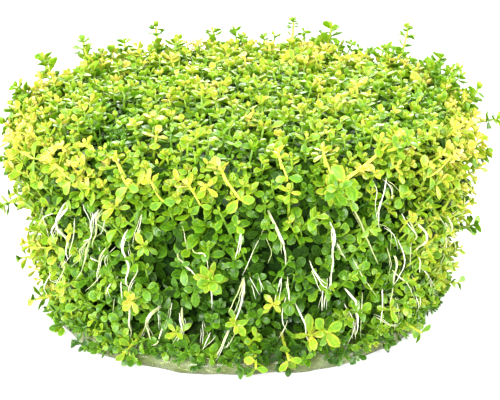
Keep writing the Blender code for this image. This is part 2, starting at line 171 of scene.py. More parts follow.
class LeafForm:
    """A closed leaf of unit size: a foot, a tip, and at each station two edges, a top and an underside."""

    def __init__(self, stations):
        along, across, swell = [0.0, 1.0], [0.0, 0.0], [0.0, 0.0]
        for share in stations:
            width = half_width_at(share)
            along += [share] * 4
            across += [-width, width, 0.0, 0.0]
            swell += [0.0, 0.0, TOP_SWELL, UNDER_SWELL]
        self.along = np.array(along)
        self.across = np.array(across)
        self.swell = np.array(swell)
        self.width = np.array([0.0, 0.0] + [half_width_at(share) for share in stations for k in range(4)])
        self.edge = np.array([0.5, 1.0] + [1.0, 1.0, 0.0, 0.0] * len(stations))
        faces = []
        foot, tip = 0, 1
        rows = [range(2 + 4 * k, 6 + 4 * k) for k in range(len(stations))]
        right, left, top, below = rows[0]
        faces += [(foot, right, top), (foot, top, left), (foot, below, right), (foot, left, below)]
        for low, high in zip(rows, rows[1:]):
            for a, b in ((0, 2), (2, 1), (1, 3), (3, 0)):
                faces += [(low[a], high[a], high[b]), (low[a], high[b], low[b])]
        right, left, top, below = rows[-1]
        faces += [(right, tip, top), (top, tip, left), (left, tip, below), (below, tip, right)]
        self.faces = np.array(faces)


class Leaves:
    """Leaves gathered for one piece, each as a row of numbers."""

    def __init__(self, stations=LEAF_STATIONS):
        self.form = LeafForm(stations)
        self.rows = []

    def add(self, foot, along, facing, length, width, cup, curl, plump, tone, young):
        """Add a leaf from foot along a direction, its upper side towards facing."""
        side = facing.cross(along).normalized()
        up = along.cross(side)
        self.rows.append((*foot, *along, *side, *up, length, width, cup, curl, plump, tone, young))

    def mesh(self, name):
        """All the leaves as one mesh, with the values that its material reads."""
        form = self.form
        rows = np.array(self.rows)
        foot, along, side, up = (rows[:, None, 3 * k:3 * k + 3] for k in range(4))
        length, width, cup, curl, plump, tone, young = (rows[:, k:k + 1] for k in range(12, 19))
        forward = length * form.along
        sideways = 0.5 * width * form.across
        rise = cup * width * form.across ** 2 + curl * length * form.along ** 2
        rise = rise + plump * form.width * form.swell
        corners = foot + along * forward[..., None] + side * sideways[..., None] + up * rise[..., None]
        corners[..., 2] += np.maximum(LEAF_CLEARANCE - corners[..., 2].min(axis=1), 0.0)[:, None]
        count, size = len(rows), len(form.along)
        faces = form.faces[None] + size * np.arange(count)[:, None, None]
        mesh = mesh_from(name, corners.reshape(-1, 3), faces.reshape(-1, 3))
        mesh.set_sharp_from_angle(angle=RIM_ANGLE)
        store(mesh, "edge", np.tile(form.edge, count))
        store(mesh, "along", np.tile(form.along, count))
        store(mesh, "tone", np.repeat(tone, size))
        store(mesh, "young", np.repeat(young, size))
        return mesh


def mesh_from(name, corners, faces):
    """A smooth-shaded mesh from arrays of corners and triangles."""
    mesh = bpy.data.meshes.new(name)
    mesh.from_pydata(corners.tolist(), [], faces.tolist())
    mesh.shade_smooth()
    return mesh


def store(mesh, name, values):
    """Keep one number for each corner of a mesh, for its material to read."""
    attribute = mesh.attributes.new(name, "FLOAT", "POINT")
    attribute.data.foreach_set("value", np.asarray(values, np.float32))


# Stems and roots

END_ROUNDING = 0.6


class Tubes:
    """Closed tubes gathered for one piece."""

    def __init__(self, sides):
        self.sides = sides
        self.corners, self.faces, self.tone, self.young, self.along = [], [], [], [], []

    def add(self, path, radii, tone, young):
        """Add a tube along a path, rounded off to a point past each end."""
        sides = self.sides
        first = len(self.corners)
        ahead = (path[1] - path[0]).normalized()
        side = ahead.orthogonal().normalized()
        last = len(path) - 1
        for i, (point, radius) in enumerate(zip(path, radii)):
            along = (path[min(i + 1, last)] - path[max(i - 1, 0)]).normalized()
            side = (side - along * side.dot(along)).normalized()
            other = along.cross(side)
            for k in range(sides):
                turn = 2.0 * math.pi * k / sides
                self.corners.append(point + (side * math.cos(turn) + other * math.sin(turn)) * radius)
            self.along += [i / last] * sides
        self.corners.append(path[0] - ahead * radii[0] * END_ROUNDING)
        self.corners.append(path[-1] + (path[-1] - path[-2]).normalized() * radii[-1] * END_ROUNDING)
        self.along += [0.0, 1.0]
        self.faces += tube_faces(len(path), sides, first)
        added = len(self.corners) - first
        self.tone += [tone] * added
        self.young += [young] * added

    def mesh(self, name):
        """All the tubes as one mesh, with the values that its material reads."""
        mesh = mesh_from(name, np.array(self.corners), np.array(self.faces))
        store(mesh, "tone", self.tone)
        store(mesh, "young", self.young)
        store(mesh, "along", self.along)
        return mesh


def smooth_path(points, steps):
    """A Catmull-Rom curve through points, with this many steps between two of them."""
    ends = [points[0] * 2 - points[1]] + list(points) + [points[-1] * 2 - points[-2]]
    path = []
    for a, b, c, d in zip(ends, ends[1:], ends[2:], ends[3:]):
        for step in range(steps):
            t = step / steps
            curve = b * 2 + (c - a) * t + (a * 2 - b * 5 + c * 4 - d) * t ** 2
            path.append((curve + (b * 3 - a - c * 3 + d) * t ** 3) * 0.5)
    return path + [points[-1]]


# Shoots

FLOOR_ROOM = 0.5 * MM
STEM_GREENER = 0.08

# How the leaves of a shoot vary: their turn about their own line in radians, their lean in degrees, and the
# rest as shares, with a little more cup and curl in the young ones
LEAF_ROLL = 0.35
LEAF_STRAY = 0.15
LEAN_SPREAD = (-15.0, 13.0)
LENGTH_SPREAD = (0.8, 1.2)
WIDTH_SPREAD = (0.72, 1.22)
CUP_SPREAD = (-0.18, 0.36)
CURL_SPREAD = (-0.45, 0.1)
YOUTH_SPREAD = (-0.06, 0.06)
YOUNG_CUP = 0.08
YOUNG_CURL = 0.14

# Down from the tip: distance of each pair of leaves from it, the angle of its leaves from the stem in
# degrees, their size, how broad they are for their length, and how much greener the lowest pair is
Habit = namedtuple("Habit", "steps angles sizes leaf broad plump stem tail aging")

TOP_HABIT = Habit(
    steps=(0.0, 0.35, 1.0, 2.1, 3.4), angles=(42, 62, 74, 84, 90), sizes=(0.6, 0.9, 1.0, 1.0, 1.1),
    leaf=1.66 * MM, broad=0.68, plump=0.6 * MM, stem=0.18 * MM, tail=2.2 * MM, aging=0.75)
RIM_HABIT = Habit(
    steps=(0.0, 0.4, 1.2, 2.4, 3.9), angles=(34, 58, 72, 82, 90), sizes=(0.5, 0.8, 1.0, 1.05, 1.1),
    leaf=1.7 * MM, broad=0.66, plump=0.54 * MM, stem=0.2 * MM, tail=2.5 * MM, aging=0.75)
SIDE_HABIT = Habit(
    steps=(0.0, 0.5, 1.5, 2.9, 4.7), angles=(28, 56, 70, 78, 86), sizes=(0.45, 0.8, 1.0, 1.05, 0.95),
    leaf=1.8 * MM, broad=0.66, plump=0.36 * MM, stem=0.18 * MM, tail=3.0 * MM, aging=0.75)


def leaning(stem, side, lean):
    """Direction of a leaf that leans from its stem to one side, and the way its upper side faces."""
    return stem * math.cos(lean) + side * math.sin(lean), stem * math.sin(lean) - side * math.cos(lean)


def grow_shoot(leaves, stems, habit, tip, direction, droop, size, young, rng):
    """Grow one shoot down from its tip. droop is added to its path by the square of the distance."""
    turn = rng.uniform(0.0, math.pi)
    tone = rng.random()

    def path(distance):
        spot = tip - direction * distance + droop * distance ** 2
        spot.z = max(spot.z, FLOOR_ROOM)
        return spot

    for k, step in enumerate(habit.steps):
        distance = step * MM * size
        along_stem = (path(distance) - path(distance + 0.1 * MM)).normalized()
        side = along_stem.orthogonal().normalized()
        side.rotate(Matrix.Rotation(turn + k * math.pi / 2.0 + rng.uniform(-0.25, 0.25), 3, along_stem))
        age = k / (len(habit.steps) - 1)
        for way in (1.0, -1.0):
            lean = math.radians(habit.angles[k] + rng.uniform(*LEAN_SPREAD))
            along, facing = leaning(along_stem, side * way, lean)
            along += scatter(rng, LEAF_STRAY)
            along.normalize()
            facing.rotate(Matrix.Rotation(rng.uniform(-LEAF_ROLL, LEAF_ROLL), 3, along))
            length = habit.leaf * habit.sizes[k] * size * rng.uniform(*LENGTH_SPREAD)
            width = length * habit.broad * rng.uniform(*WIDTH_SPREAD)
            foot = path(distance)
            along.z = max(along.z, (FLOOR_ROOM - foot.z) / length)
            along.normalize()
            cup = rng.uniform(*CUP_SPREAD) + YOUNG_CUP * (1.0 - age)
            curl = rng.uniform(*CURL_SPREAD) + YOUNG_CURL * (1.0 - age)
            leaf_young = young * (1.0 - habit.aging * age) + rng.uniform(*YOUTH_SPREAD)
            leaves.add(foot, along, facing, length, width, cup, curl, habit.plump, rng.random(), leaf_young)
    reach = habit.steps[-1] * MM * size + habit.tail
    places = [path(reach * k / 4.0) for k in range(5)]
    radii = [habit.stem * size * (0.75 + 0.15 * k) for k in range(5)]
    stems.add(places, radii, tone, young - STEM_GREENER)


LUMP_SIZE = 9.0 * MM
LUMP_DEPTH = 1.2 * MM
TUFT_SIZE = 2.8 * MM
TUFT_DEPTH = 0.6 * MM

# Hollows between the lumps, where few shoots grow: centre, width and depth in millimetres
Hollow = namedtuple("Hollow", "x y z width depth")

HOLLOWS = [Hollow(*row) for row in (
    (-7, -13, 33, 4.5, 3.5), (-18.5, -8, 33, 4, 2.5), (-19.5, -20, 32, 4.5, 3.5), (-11, -25, 32, 4, 3),
    (3.5, -32, 31, 3.5, 2.5), (20, -6, 33, 4, 2), (12, 10, 33, 4, 2.5), (-8, 17, 33, 4, 2.5),
    (6.5, -31.5, 6, 5, 4.5), (-15, -28.5, 4.5, 4, 3), (16, -28, 5, 3.5, 2.5), (12, -31, 10, 3.5, 2.5),
    (-11, -32.5, 16.5, 4, 3), (3.5, -34, 16, 3.5, 2.5), (-7, -31, 4.5, 4.5, 3.5),
    (-2.5, -33.5, 12.5, 3.5, 2.5), (-10.5, -33.5, 22, 3.5, 2), (9.5, -33, 18.5, 3.5, 2),
    (16.5, -31, 24, 3.5, 2.5), (21, -28, 26.5, 3.5, 2), (8, -33.5, 29, 3, 2), (21.5, -26.5, 15, 3.5, 2),
    (-33, -9, 17, 4, 2.5), (33, 8, 14, 4, 2.5), (24, 24, 18, 4, 3), (3, 34, 12, 4, 3),
    (-24, 24, 20, 4, 3), (-32, 8, 8, 3.5, 2.5), (14, 31, 24, 3.5, 2.5), (-14, 30, 9, 4, 2.5),
)]


def lump(point):
    """How far the mat bulges here, from about -1 to 1."""
    return noise.noise(point / LUMP_SIZE)


def hollow_depth(point):
    """How deep the mat is hollowed here, and how close to the middle of a hollow this is, from 0 to 1."""
    depth, nearness = 0.0, 0.0
    for hollow in HOLLOWS:
        distance = (point - Vector(hollow[:3]) * MM).length / (hollow.width * MM)
        if distance < 1.0:
            inside = (1.0 - distance ** 2) ** 2
            depth = max(depth, hollow.depth * MM * inside)
            nearness = max(nearness, inside)
    return depth, nearness


# How a band of the surface is covered: its habit, the distance between shoots, how far their tips stand
# in and out, how strongly they turn up, how loosely they stand, and how young and yellow they are
Field = namedtuple("Field", "habit spacing sunk proud lift loose young ripe_share")

TOP_FIELD = Field(TOP_HABIT, 2.08 * MM, 1.9 * MM, 0.4 * MM, 0.5, 0.26, 0.47, 0.06)
RIM_FIELD = Field(RIM_HABIT, 2.08 * MM, 2.1 * MM, 0.3 * MM, 0.8, 0.36, 0.64, 0.12)
SIDE_FIELD = Field(SIDE_HABIT, 2.35 * MM, 2.6 * MM, 0.5 * MM, 1.0, 0.5, 0.52, 0.08)

# How the youth of the shoots changes from place to place, and by how much the ripe ones are yellower.
# Part of it is painted light and shade: yellower on lumps and at the left and right ends, and greener lower
# down, deeper in and in hollows
ENDS_PAINTED_LIGHT = 0.18
LOWER_PAINTED_SHADE = 0.4
ENDS_KEEP = 0.85
FAR_YOUNGER = 0.1
SHOOT_YOUTH = (-0.1, 0.12)
LUMP_LIGHT_AND_SHADE = 0.12
DEEP_PAINTED_SHADE = 0.25
HOLLOW_PAINTED_SHADE = 0.45
RIPER = 0.24

# The share of places left empty, and the droop and sizes of the shoots: least, most and likeliest
EMPTY_SHARE = 0.08
HOLLOW_EMPTY_SHARE = 0.85
FIELD_DROOP = 22.0
FIELD_SIZES = (0.7, 1.4, 0.95)

# Tips this near to a root mostly go back by this much, and those set back get this much more painted shade
ROOT_ROOM = 1.5 * MM
BEHIND_ROOTS = 1.7 * MM
SET_BACK_SHARE = 0.6
SET_BACK_SHADE = 0.5


def grow_field(leaves, stems, field, area_from, area_to, root_tree, rng):
    """Cover a band of the surface with shoots, set back where a root runs over them."""
    count = int((area_to - area_from) / field.spacing ** 2)
    for i in range(count):
        area = area_from + (area_to - area_from) * (i + 0.5) / count
        point, normal = surface.place(area, i * GOLDEN_ANGLE)
        broad = lump(point)
        hollow, nearness = hollow_depth(point)
        if rng.random() < EMPTY_SHARE + HOLLOW_EMPTY_SHARE * nearness:
            continue
        depth = rng.random() ** 1.3
        stand = broad * LUMP_DEPTH - hollow + noise.noise(point / TUFT_SIZE + UP * 7.0) * TUFT_DEPTH
        stand += field.proud - (field.proud + field.sunk) * depth
        sideways = scatter(rng)
        steep = 1.0 - abs(normal.z)
        direction = (normal + UP * field.lift * steep + sideways * field.loose).normalized()
        tip = point + normal * stand + sideways * 0.5 * MM
        if root_tree.find(tip)[2] < ROOT_ROOM and rng.random() < SET_BACK_SHARE:
            tip -= normal * BEHIND_ROOTS
            depth += SET_BACK_SHADE
        if tip.z < MAT_BOTTOM - 0.8 * MM:
            continue
        droop = (-normal * 0.35 - UP * 0.65 * steep).normalized() * FIELD_DROOP
        # Painted light and shade: shoots on lumps are yellower, and those sunk deeper, set back behind a
        # root or in a hollow are greener.
        young = field.young + rng.uniform(*SHOOT_YOUTH) + LUMP_LIGHT_AND_SHADE * broad
        young += -DEEP_PAINTED_SHADE * depth - HOLLOW_PAINTED_SHADE * nearness
        # Painted light: shoots at the left and right ends are yellower.
        ends = abs(normal.x) ** 2
        young += ENDS_PAINTED_LIGHT * ends
        # Painted shade: lower down the side, under the overhang, shoots are greener, less so at the left and
        # right ends.
        young -= LOWER_PAINTED_SHADE * (1.0 - ENDS_KEEP * ends) * (1.0 - point.z / MAT_TOP) ** 1.5
        young += FAR_YOUNGER * point.y / MAT_REACH
        if rng.random() < field.ripe_share:
            young += RIPER
        size = rng.triangular(*FIELD_SIZES)
        grow_shoot(leaves, stems, field.habit, tip, direction, droop, size, young, rng)


# Rosettes that catch the eye on the side: angle in degrees, height in millimetres, size and youth
Rosette = namedtuple("Rosette", "angle height size young")

ROSETTES = [Rosette(*row) for row in (
    (290, 28, 1.2, 0.75), (280, 28.5, 0.9, 0.60), (262, 29, 1.0, 0.65), (262, 16, 1.25, 0.65),
    (287, 6.5, 1.3, 0.55), (242, 11, 1.1, 0.65), (240, 25, 1.2, 0.60), (233, 27, 1.1, 0.55),
    (217, 4.5, 1.0, 0.45), (247, 20, 0.9, 0.45), (268, 9, 1.0, 0.50), (277, 12, 0.9, 0.60),
    (300, 22, 1.0, 0.40), (318, 17, 1.1, 0.60), (322, 26, 1.2, 0.65), (310, 8, 1.0, 0.55),
    (205, 14, 1.2, 0.60), (196, 20, 1.0, 0.50), (253, 7, 1.0, 0.50), (296, 8.5, 0.9, 0.45),
)]
ROSETTE_HABIT = Habit(
    steps=(0.0, 0.2, 0.5, 1.0, 2.4), angles=(18, 48, 68, 80, 84), sizes=(0.4, 0.8, 1.0, 1.05, 0.85),
    leaf=1.9 * MM, broad=0.46, plump=0.34 * MM, stem=0.22 * MM, tail=3.5 * MM, aging=0.4)
ROSETTE_LIFT = 0.6
ROSETTE_STRAY = 0.5
ROSETTE_DROOP = 25.0
ROSETTE_GREENER = 0.05


def grow_rosettes(leaves, stems, rng):
    """The rosettes, each facing outward and a little up."""
    for rosette in ROSETTES:
        point, normal = side_place(rosette.angle, rosette.height * MM)
        stray = noise.noise_vector(point / MM) * ROSETTE_STRAY
        direction = (normal + UP * ROSETTE_LIFT + stray).normalized()
        tip = point + normal * 0.4 * MM
        droop = (-normal * 0.3 - UP * 0.7).normalized() * ROSETTE_DROOP
        young = rosette.young - ROSETTE_GREENER
        grow_shoot(leaves, stems, ROSETTE_HABIT, tip, direction, droop, rosette.size, young, rng)


# The fringe: how many shoots, the heights of their tips and how far these stand past the mat's foot, both in
# millimetres, how far they turn aside and up, their droop, sizes and youth, and how much yellower the left
# and right are, as painted light
FRINGE_COUNT = 190
FRINGE_HEIGHTS = (1.5, 4.4)
FRINGE_REACH = (-0.8, 0.6)
FRINGE_SIDEWAYS = (-0.9, 0.9)
FRINGE_LIFT = (-0.35, 0.6)
FRINGE_DROOP = 30.0
FRINGE_SIZES = (0.7, 1.15)
FRINGE_YOUTH = (-0.28, 0.22)
FRINGE_ENDS_PAINTED_LIGHT = 0.28
FRINGE_HABIT = Habit(
    steps=(0.0, 0.5, 1.4, 2.6), angles=(30, 58, 72, 80), sizes=(0.5, 0.85, 1.0, 1.0),
    leaf=2.05 * MM, broad=0.6, plump=0.32 * MM, stem=0.2 * MM, tail=2.5 * MM, aging=0.7)


def grow_fringe(leaves, stems, rng):
    """Shoots that hang out over the gel, all round."""
    for i in range(FRINGE_COUNT):
        turn = 2.0 * math.pi * (i + rng.uniform(-0.5, 0.5)) / FRINGE_COUNT
        out = turned(1.0, 0.0, turn)
        height = rng.uniform(*FRINGE_HEIGHTS)
        reach = gel_wave(turn) + rng.uniform(*FRINGE_REACH)
        tip = out * (TIP_FOOT_RADIUS + reach * MM) + UP * height * MM
        sideways = Vector((-out.y, out.x, 0.0)) * rng.uniform(*FRINGE_SIDEWAYS)
        direction = (out + sideways + UP * rng.uniform(*FRINGE_LIFT)).normalized()
        droop = (UP - out * 0.3).normalized() * FRINGE_DROOP
        # Painted light: fringe shoots at the left and right ends are yellower.
        young = rng.uniform(*FRINGE_YOUTH) + FRINGE_ENDS_PAINTED_LIGHT * abs(out.x)
        size = rng.uniform(*FRINGE_SIZES)
        grow_shoot(leaves, stems, FRINGE_HABIT, tip, direction, droop, size, young, rng)


# Loose tufts that stand up along the rim: angle in degrees, and height and distance from the axis of their
# tips in millimetres
Tuft = namedtuple("Tuft", "angle height radius")

TUFTS = [Tuft(*row) for row in (
    (3, 30, 33), (8, 32, 33), (11, 33, 33), (15, 33.5, 33), (20, 33.5, 33), (25, 34, 33), (31, 34, 33),
    (36, 33.5, 33), (47, 33.5, 33), (54, 32.5, 33), (60, 33, 33), (66, 33.5, 33), (71, 34, 33),
    (83, 33, 33), (92, 33.5, 33), (98, 33, 33), (110, 33, 33), (134, 33, 33), (172, 31.5, 34),
    (176, 31, 34.5), (181, 28, 35), (184, 24.5, 35),
)]
TUFT_SHOOTS = 4
TUFT_SPREAD = 1.6
TUFT_HEIGHTS = (-2.0, 0.4)
TUFT_SIZES = (0.8, 1.2)
TUFT_YOUTH = (0.2, 0.45)


def grow_tufts(leaves, stems, rng):
    """The tufts, each a few shoots that stand close together."""
    for tuft in TUFTS:
        out = turned(1.0, 0.0, math.radians(tuft.angle))
        for shoot in range(TUFT_SHOOTS):
            x, y = (rng.uniform(-TUFT_SPREAD, TUFT_SPREAD) for axis in range(2))
            apart = Vector((x, y, rng.uniform(*TUFT_HEIGHTS))) * MM
            tip = (out * tuft.radius + UP * tuft.height) * MM + apart
            direction = (out * 0.4 + UP + apart / (4.0 * MM)).normalized()
            grow_shoot(leaves, stems, RIM_HABIT, tip, direction, Vector(), rng.uniform(*TUFT_SIZES),
                       rng.uniform(*TUFT_YOUTH), rng)


# Leaning shoots with thick yellow stems, whose heads catch the eye along the rim: angle and height of the
# foot and of the head, thickness of the stem at its foot in steps of 0.07 mm, and size of the head
Leaner = namedtuple("Leaner", "foot head thick size")

LEANERS = [Leaner(*row) for row in (
    ((293.5, 29), (309.5, 32), 9, 1.0), ((290.5, 28.5), (289.5, 32), 5, 1.0),
    ((269, 27.5), (265, 30.8), 6, 1.15), ((252, 26.5), (249, 29), 5, 1.0),
    ((260.5, 26.5), (258.5, 28.8), 4, 1.0), ((243.5, 28), (240, 30.5), 5, 1.1),
    ((227, 27), (222.5, 28.5), 5, 1.1), ((212, 28), (205, 28), 5, 1.0), ((280, 30), (278.5, 32), 4, 0.9),
    ((318, 27), (325, 28.5), 5, 1.1), ((340, 26), (344, 28), 4, 1.0), ((25, 27), (20, 29), 5, 1.0),
    ((75, 26), (80, 29), 5, 1.1), ((118, 28), (112, 30), 4, 1.0), ((150, 25), (155, 28), 5, 1.0),
)]
LEANER_HABIT = Habit(
    steps=(0.0, 0.35, 0.9, 1.9), angles=(30, 58, 76, 84), sizes=(0.5, 0.85, 1.05, 0.9),
    leaf=1.9 * MM, broad=0.55, plump=0.32 * MM, stem=0.2 * MM, tail=0.6 * MM, aging=0.6)
LEANER_STEM_STEP = 0.035
LEANER_TAPER = 0.35


def grow_leaners(leaves, stems, rng):
    """The leaning shoots, each a bowed stem with a head and two large leaves at its foot."""
    for leaner in LEANERS:
        foot, foot_normal = side_place(leaner.foot[0], leaner.foot[1] * MM)
        head, head_normal = side_place(leaner.head[0], leaner.head[1] * MM)
        bow = (foot_normal + head_normal).normalized() * 0.5 * MM
        route = [foot - foot_normal * 1.8 * MM, foot - foot_normal * 0.2 * MM, foot.lerp(head, 0.5) + bow,
                 head + head_normal * 0.6 * MM]
        path = [point + noise.noise_vector(point / (2.5 * MM)) * 0.2 * MM for point in smooth_path(route, 4)]
        radius = LEANER_STEM_STEP * leaner.thick * MM
        radii = [radius * (1.0 - LEANER_TAPER * i / (len(path) - 1)) for i in range(len(path))]
        stems.add(path, radii, rng.random(), rng.uniform(0.6, 0.85))
        direction = ((path[-1] - path[-3]).normalized() + head_normal * 0.5).normalized()
        tip = path[-1] + direction * 0.5 * MM
        grow_shoot(leaves, stems, LEANER_HABIT, tip, direction, Vector(), leaner.size, 0.7, rng)
        across = (head - foot).normalized().cross(foot_normal)
        for way in (1.0, -1.0):
            along = across * way + (foot - head).normalized() * rng.uniform(-0.2, 0.8)
            along = (along + foot_normal * rng.uniform(0.0, 0.6)).normalized()
            length = rng.uniform(0.3, 0.4) * (1.2 + leaner.thick) * MM
            leaves.add(foot + foot_normal * 0.1 * MM, along, foot_normal, length, length * 0.6, 0.15, -0.15,
                       0.3 * MM, rng.random(), rng.uniform(0.15, 0.34))


HALVINGS = 24


def side_place(angle, height):
    """Point of the outline and its outward normal at an angle in degrees and a height."""
    turn = math.radians(angle)
    low, high = 0.0, surface.total
    for halving in range(HALVINGS):
        area = 0.5 * (low + high)
        point, normal = surface.place(area, turn)
        if point.z > height:
            low = area
        else:
            high = area
    return point, normal


INNER_LEAF_COUNT = 4200
INNER_LEAF_DEPTHS = (1.8 * MM, 4.4 * MM)
INNER_LEAF_LENGTHS = (1.5, 2.7)
INNER_LEAF_BROAD = 0.62


def grow_inner_leaves(leaves, rng):
    """Older, deeper green leaves in the mat, seen through the gaps between the shoots; painted shade darkens
    them.
    """
    for i in range(INNER_LEAF_COUNT):
        area = surface.total * (i + 0.5) / INNER_LEAF_COUNT
        point, normal = surface.place(area, i * GOLDEN_ANGLE + 1.0)
        hollow, nearness = hollow_depth(point)
        inside = point + normal * (lump(point) * LUMP_DEPTH - rng.uniform(*INNER_LEAF_DEPTHS) - 0.7 * hollow)
        along = scatter(rng)
        along = (along - normal * along.dot(normal) * 0.6).normalized()
        length = rng.uniform(*INNER_LEAF_LENGTHS) * MM
        leaves.add(inside, along, normal, length, length * INNER_LEAF_BROAD, 0.1, -0.1, 0.2 * MM,
                   rng.random(), rng.uniform(-0.15, 0.1))


# Sprigs: the same table as the solids have

Sprig = namedtuple("Sprig", "angle climb length rise pairs leaf")

SPRIGS = [Sprig(*row) for row in (
    (6, 21, 3.6, 65, 1, 2.0), (26, 24, 4.2, 70, 2, 1.9), (40, 25, 7.5, 84, 3, 1.7),
    (65, 25, 4.6, 80, 2, 2.2), (76, 25, 5.4, 88, 1, 1.4), (99, 25, 3.4, 80, 1, 1.8),
    (116, 25, 5.4, 88, 2, 1.8), (127, 25, 3.2, 80, 1, 1.8), (140, 25, 4.0, 85, 2, 1.9),
    (156, 24, 3.6, 78, 2, 2.3), (172, 22, 2.8, 60, 2, 2.2), (182, 17, 2.2, 40, 1, 1.9),
    (187, 0, 2.0, -25, 1, 2.0), (192, -14, 1.8, 0, 1, 1.9), (198, -24, 2.6, 0, 1, 2.0),
    (240, -24, 2.8, -15, 1, 2.1), (263, -3, 2.0, 30, 1, 2.3), (273, -24, 2.8, -25, 1, 2.0),
    (281, -23, 3.0, -25, 1, 2.3), (290, -18, 2.4, 10, 1, 2.7), (290, 17, 2.4, 45, 1, 2.3),
    (307, 24, 5.0, 40, 2, 1.9), (320, -24, 2.6, -15, 1, 1.9), (346, -21, 2.4, 5, 1, 1.8),
    (351, -7, 2.4, 20, 1, 2.0), (356, 10, 2.0, 25, 1, 1.8), (359, 18, 3.4, 10, 1, 1.7),
)]

# Sprigs on the far side: where their angles and climbs start and how far these spread, in degrees, the least
# length of stem and leaf with the steps in which they grow, in millimetres, and the steps of the rise
FAR_SPRIG_COUNT = 8
FAR_SPRIG_ANGLE, FAR_SPRIG_SPREAD = 12.0, 156.0
FAR_SPRIG_CLIMB, FAR_SPRIG_CLIMB_SPREAD = -24.0, 34.0
FAR_SPRIG_LENGTH, FAR_SPRIG_LENGTH_STEP = 1.8, 0.4
FAR_SPRIG_LEAF, FAR_SPRIG_LEAF_STEP = 1.8, 0.25
FAR_SPRIG_RISE_STEP = 10.0
HEART = Vector((0.0, 0.0, 17.0 * MM))

# Climbs from the heart in degrees, above which a sprig has shoots round its foot and a head of small leaves
TUFT_COUNT = 4
TUFT_CLIMB = 18.0
HEAD_CLIMB = -10.0
HEAD_HABIT = Habit(
    steps=(0.0, 0.3, 0.8, 1.5), angles=(28, 52, 72, 84), sizes=(0.5, 0.8, 1.0, 1.05),
    leaf=1.6 * MM, broad=0.66, plump=0.42 * MM, stem=0.2 * MM, tail=0.5 * MM, aging=0.6)

# The leaves of a sprig: how far up its stem the lowest and the last pair sit, how broad leaves are near the
# rim and on the side, their roll in radians and their lean in degrees
LOW_PAIR_ALONE, LOW_PAIR, TOP_PAIR = 0.5, 0.35, 0.97
RIM_SPRIG_BROAD, SIDE_SPRIG_BROAD = 0.66, 0.58
SPRIG_LEAF_ROLL = 0.8
SPRIG_LEANS = (48.0, 68.0)
SPRIG_LENGTHS = (1.0, 1.2)
SPRIG_YOUTH = (0.16, 0.42)
SPRIG_CUP, SPRIG_CURL = 0.14, -0.12
SPRIG_PLUMP = 0.28 * MM
TOP_PAIR_SIZE = 0.85
SPRIG_STEM_RADIUS, SPRIG_STEM_TAPER = 0.27 * MM, 0.018 * MM
SPRIG_STEM_YOUNG = 0.62
SPRIG_STEM_DEPTH = 2.5


def far_sprigs():
    """Sprigs on the half that faces +Y, spread by the golden section."""
    sprigs = []
    for i in range(FAR_SPRIG_COUNT):
        angle = FAR_SPRIG_ANGLE + FAR_SPRIG_SPREAD * ((i * GOLDEN_SECTION) % 1.0)
        climb = FAR_SPRIG_CLIMB + FAR_SPRIG_CLIMB_SPREAD * (i + 0.5) / FAR_SPRIG_COUNT
        length = FAR_SPRIG_LENGTH + FAR_SPRIG_LENGTH_STEP * (i % 3)
        rise = FAR_SPRIG_RISE_STEP * (3 * i % 5)
        leaf = FAR_SPRIG_LEAF + FAR_SPRIG_LEAF_STEP * (2 * i % 3)
        sprigs.append(Sprig(angle, climb, length, rise, 1, leaf))
    return sprigs


def direction_of(angle, climb):
    """Unit vector at an angle about +Z and a climb above level, both in degrees."""
    turn, lift = math.radians(angle), math.radians(climb)
    return Vector((math.cos(lift) * math.cos(turn), math.cos(lift) * math.sin(turn), math.sin(lift)))


def corners_of(node):
    """The corners of a solid, each once."""
    found = np.array([tuple(vertex.co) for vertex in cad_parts[node].data.vertices])
    return np.unique(np.round(found, 6), axis=0)


def sprig_start(node):
    """Middle of the cut end of a sprig's stem, which is what lies nearest to the heart."""
    corners = corners_of(node)
    nearest = np.argsort(np.linalg.norm(corners - np.array(HEART), axis=1))[:4]
    return Vector(corners[nearest].mean(axis=0))


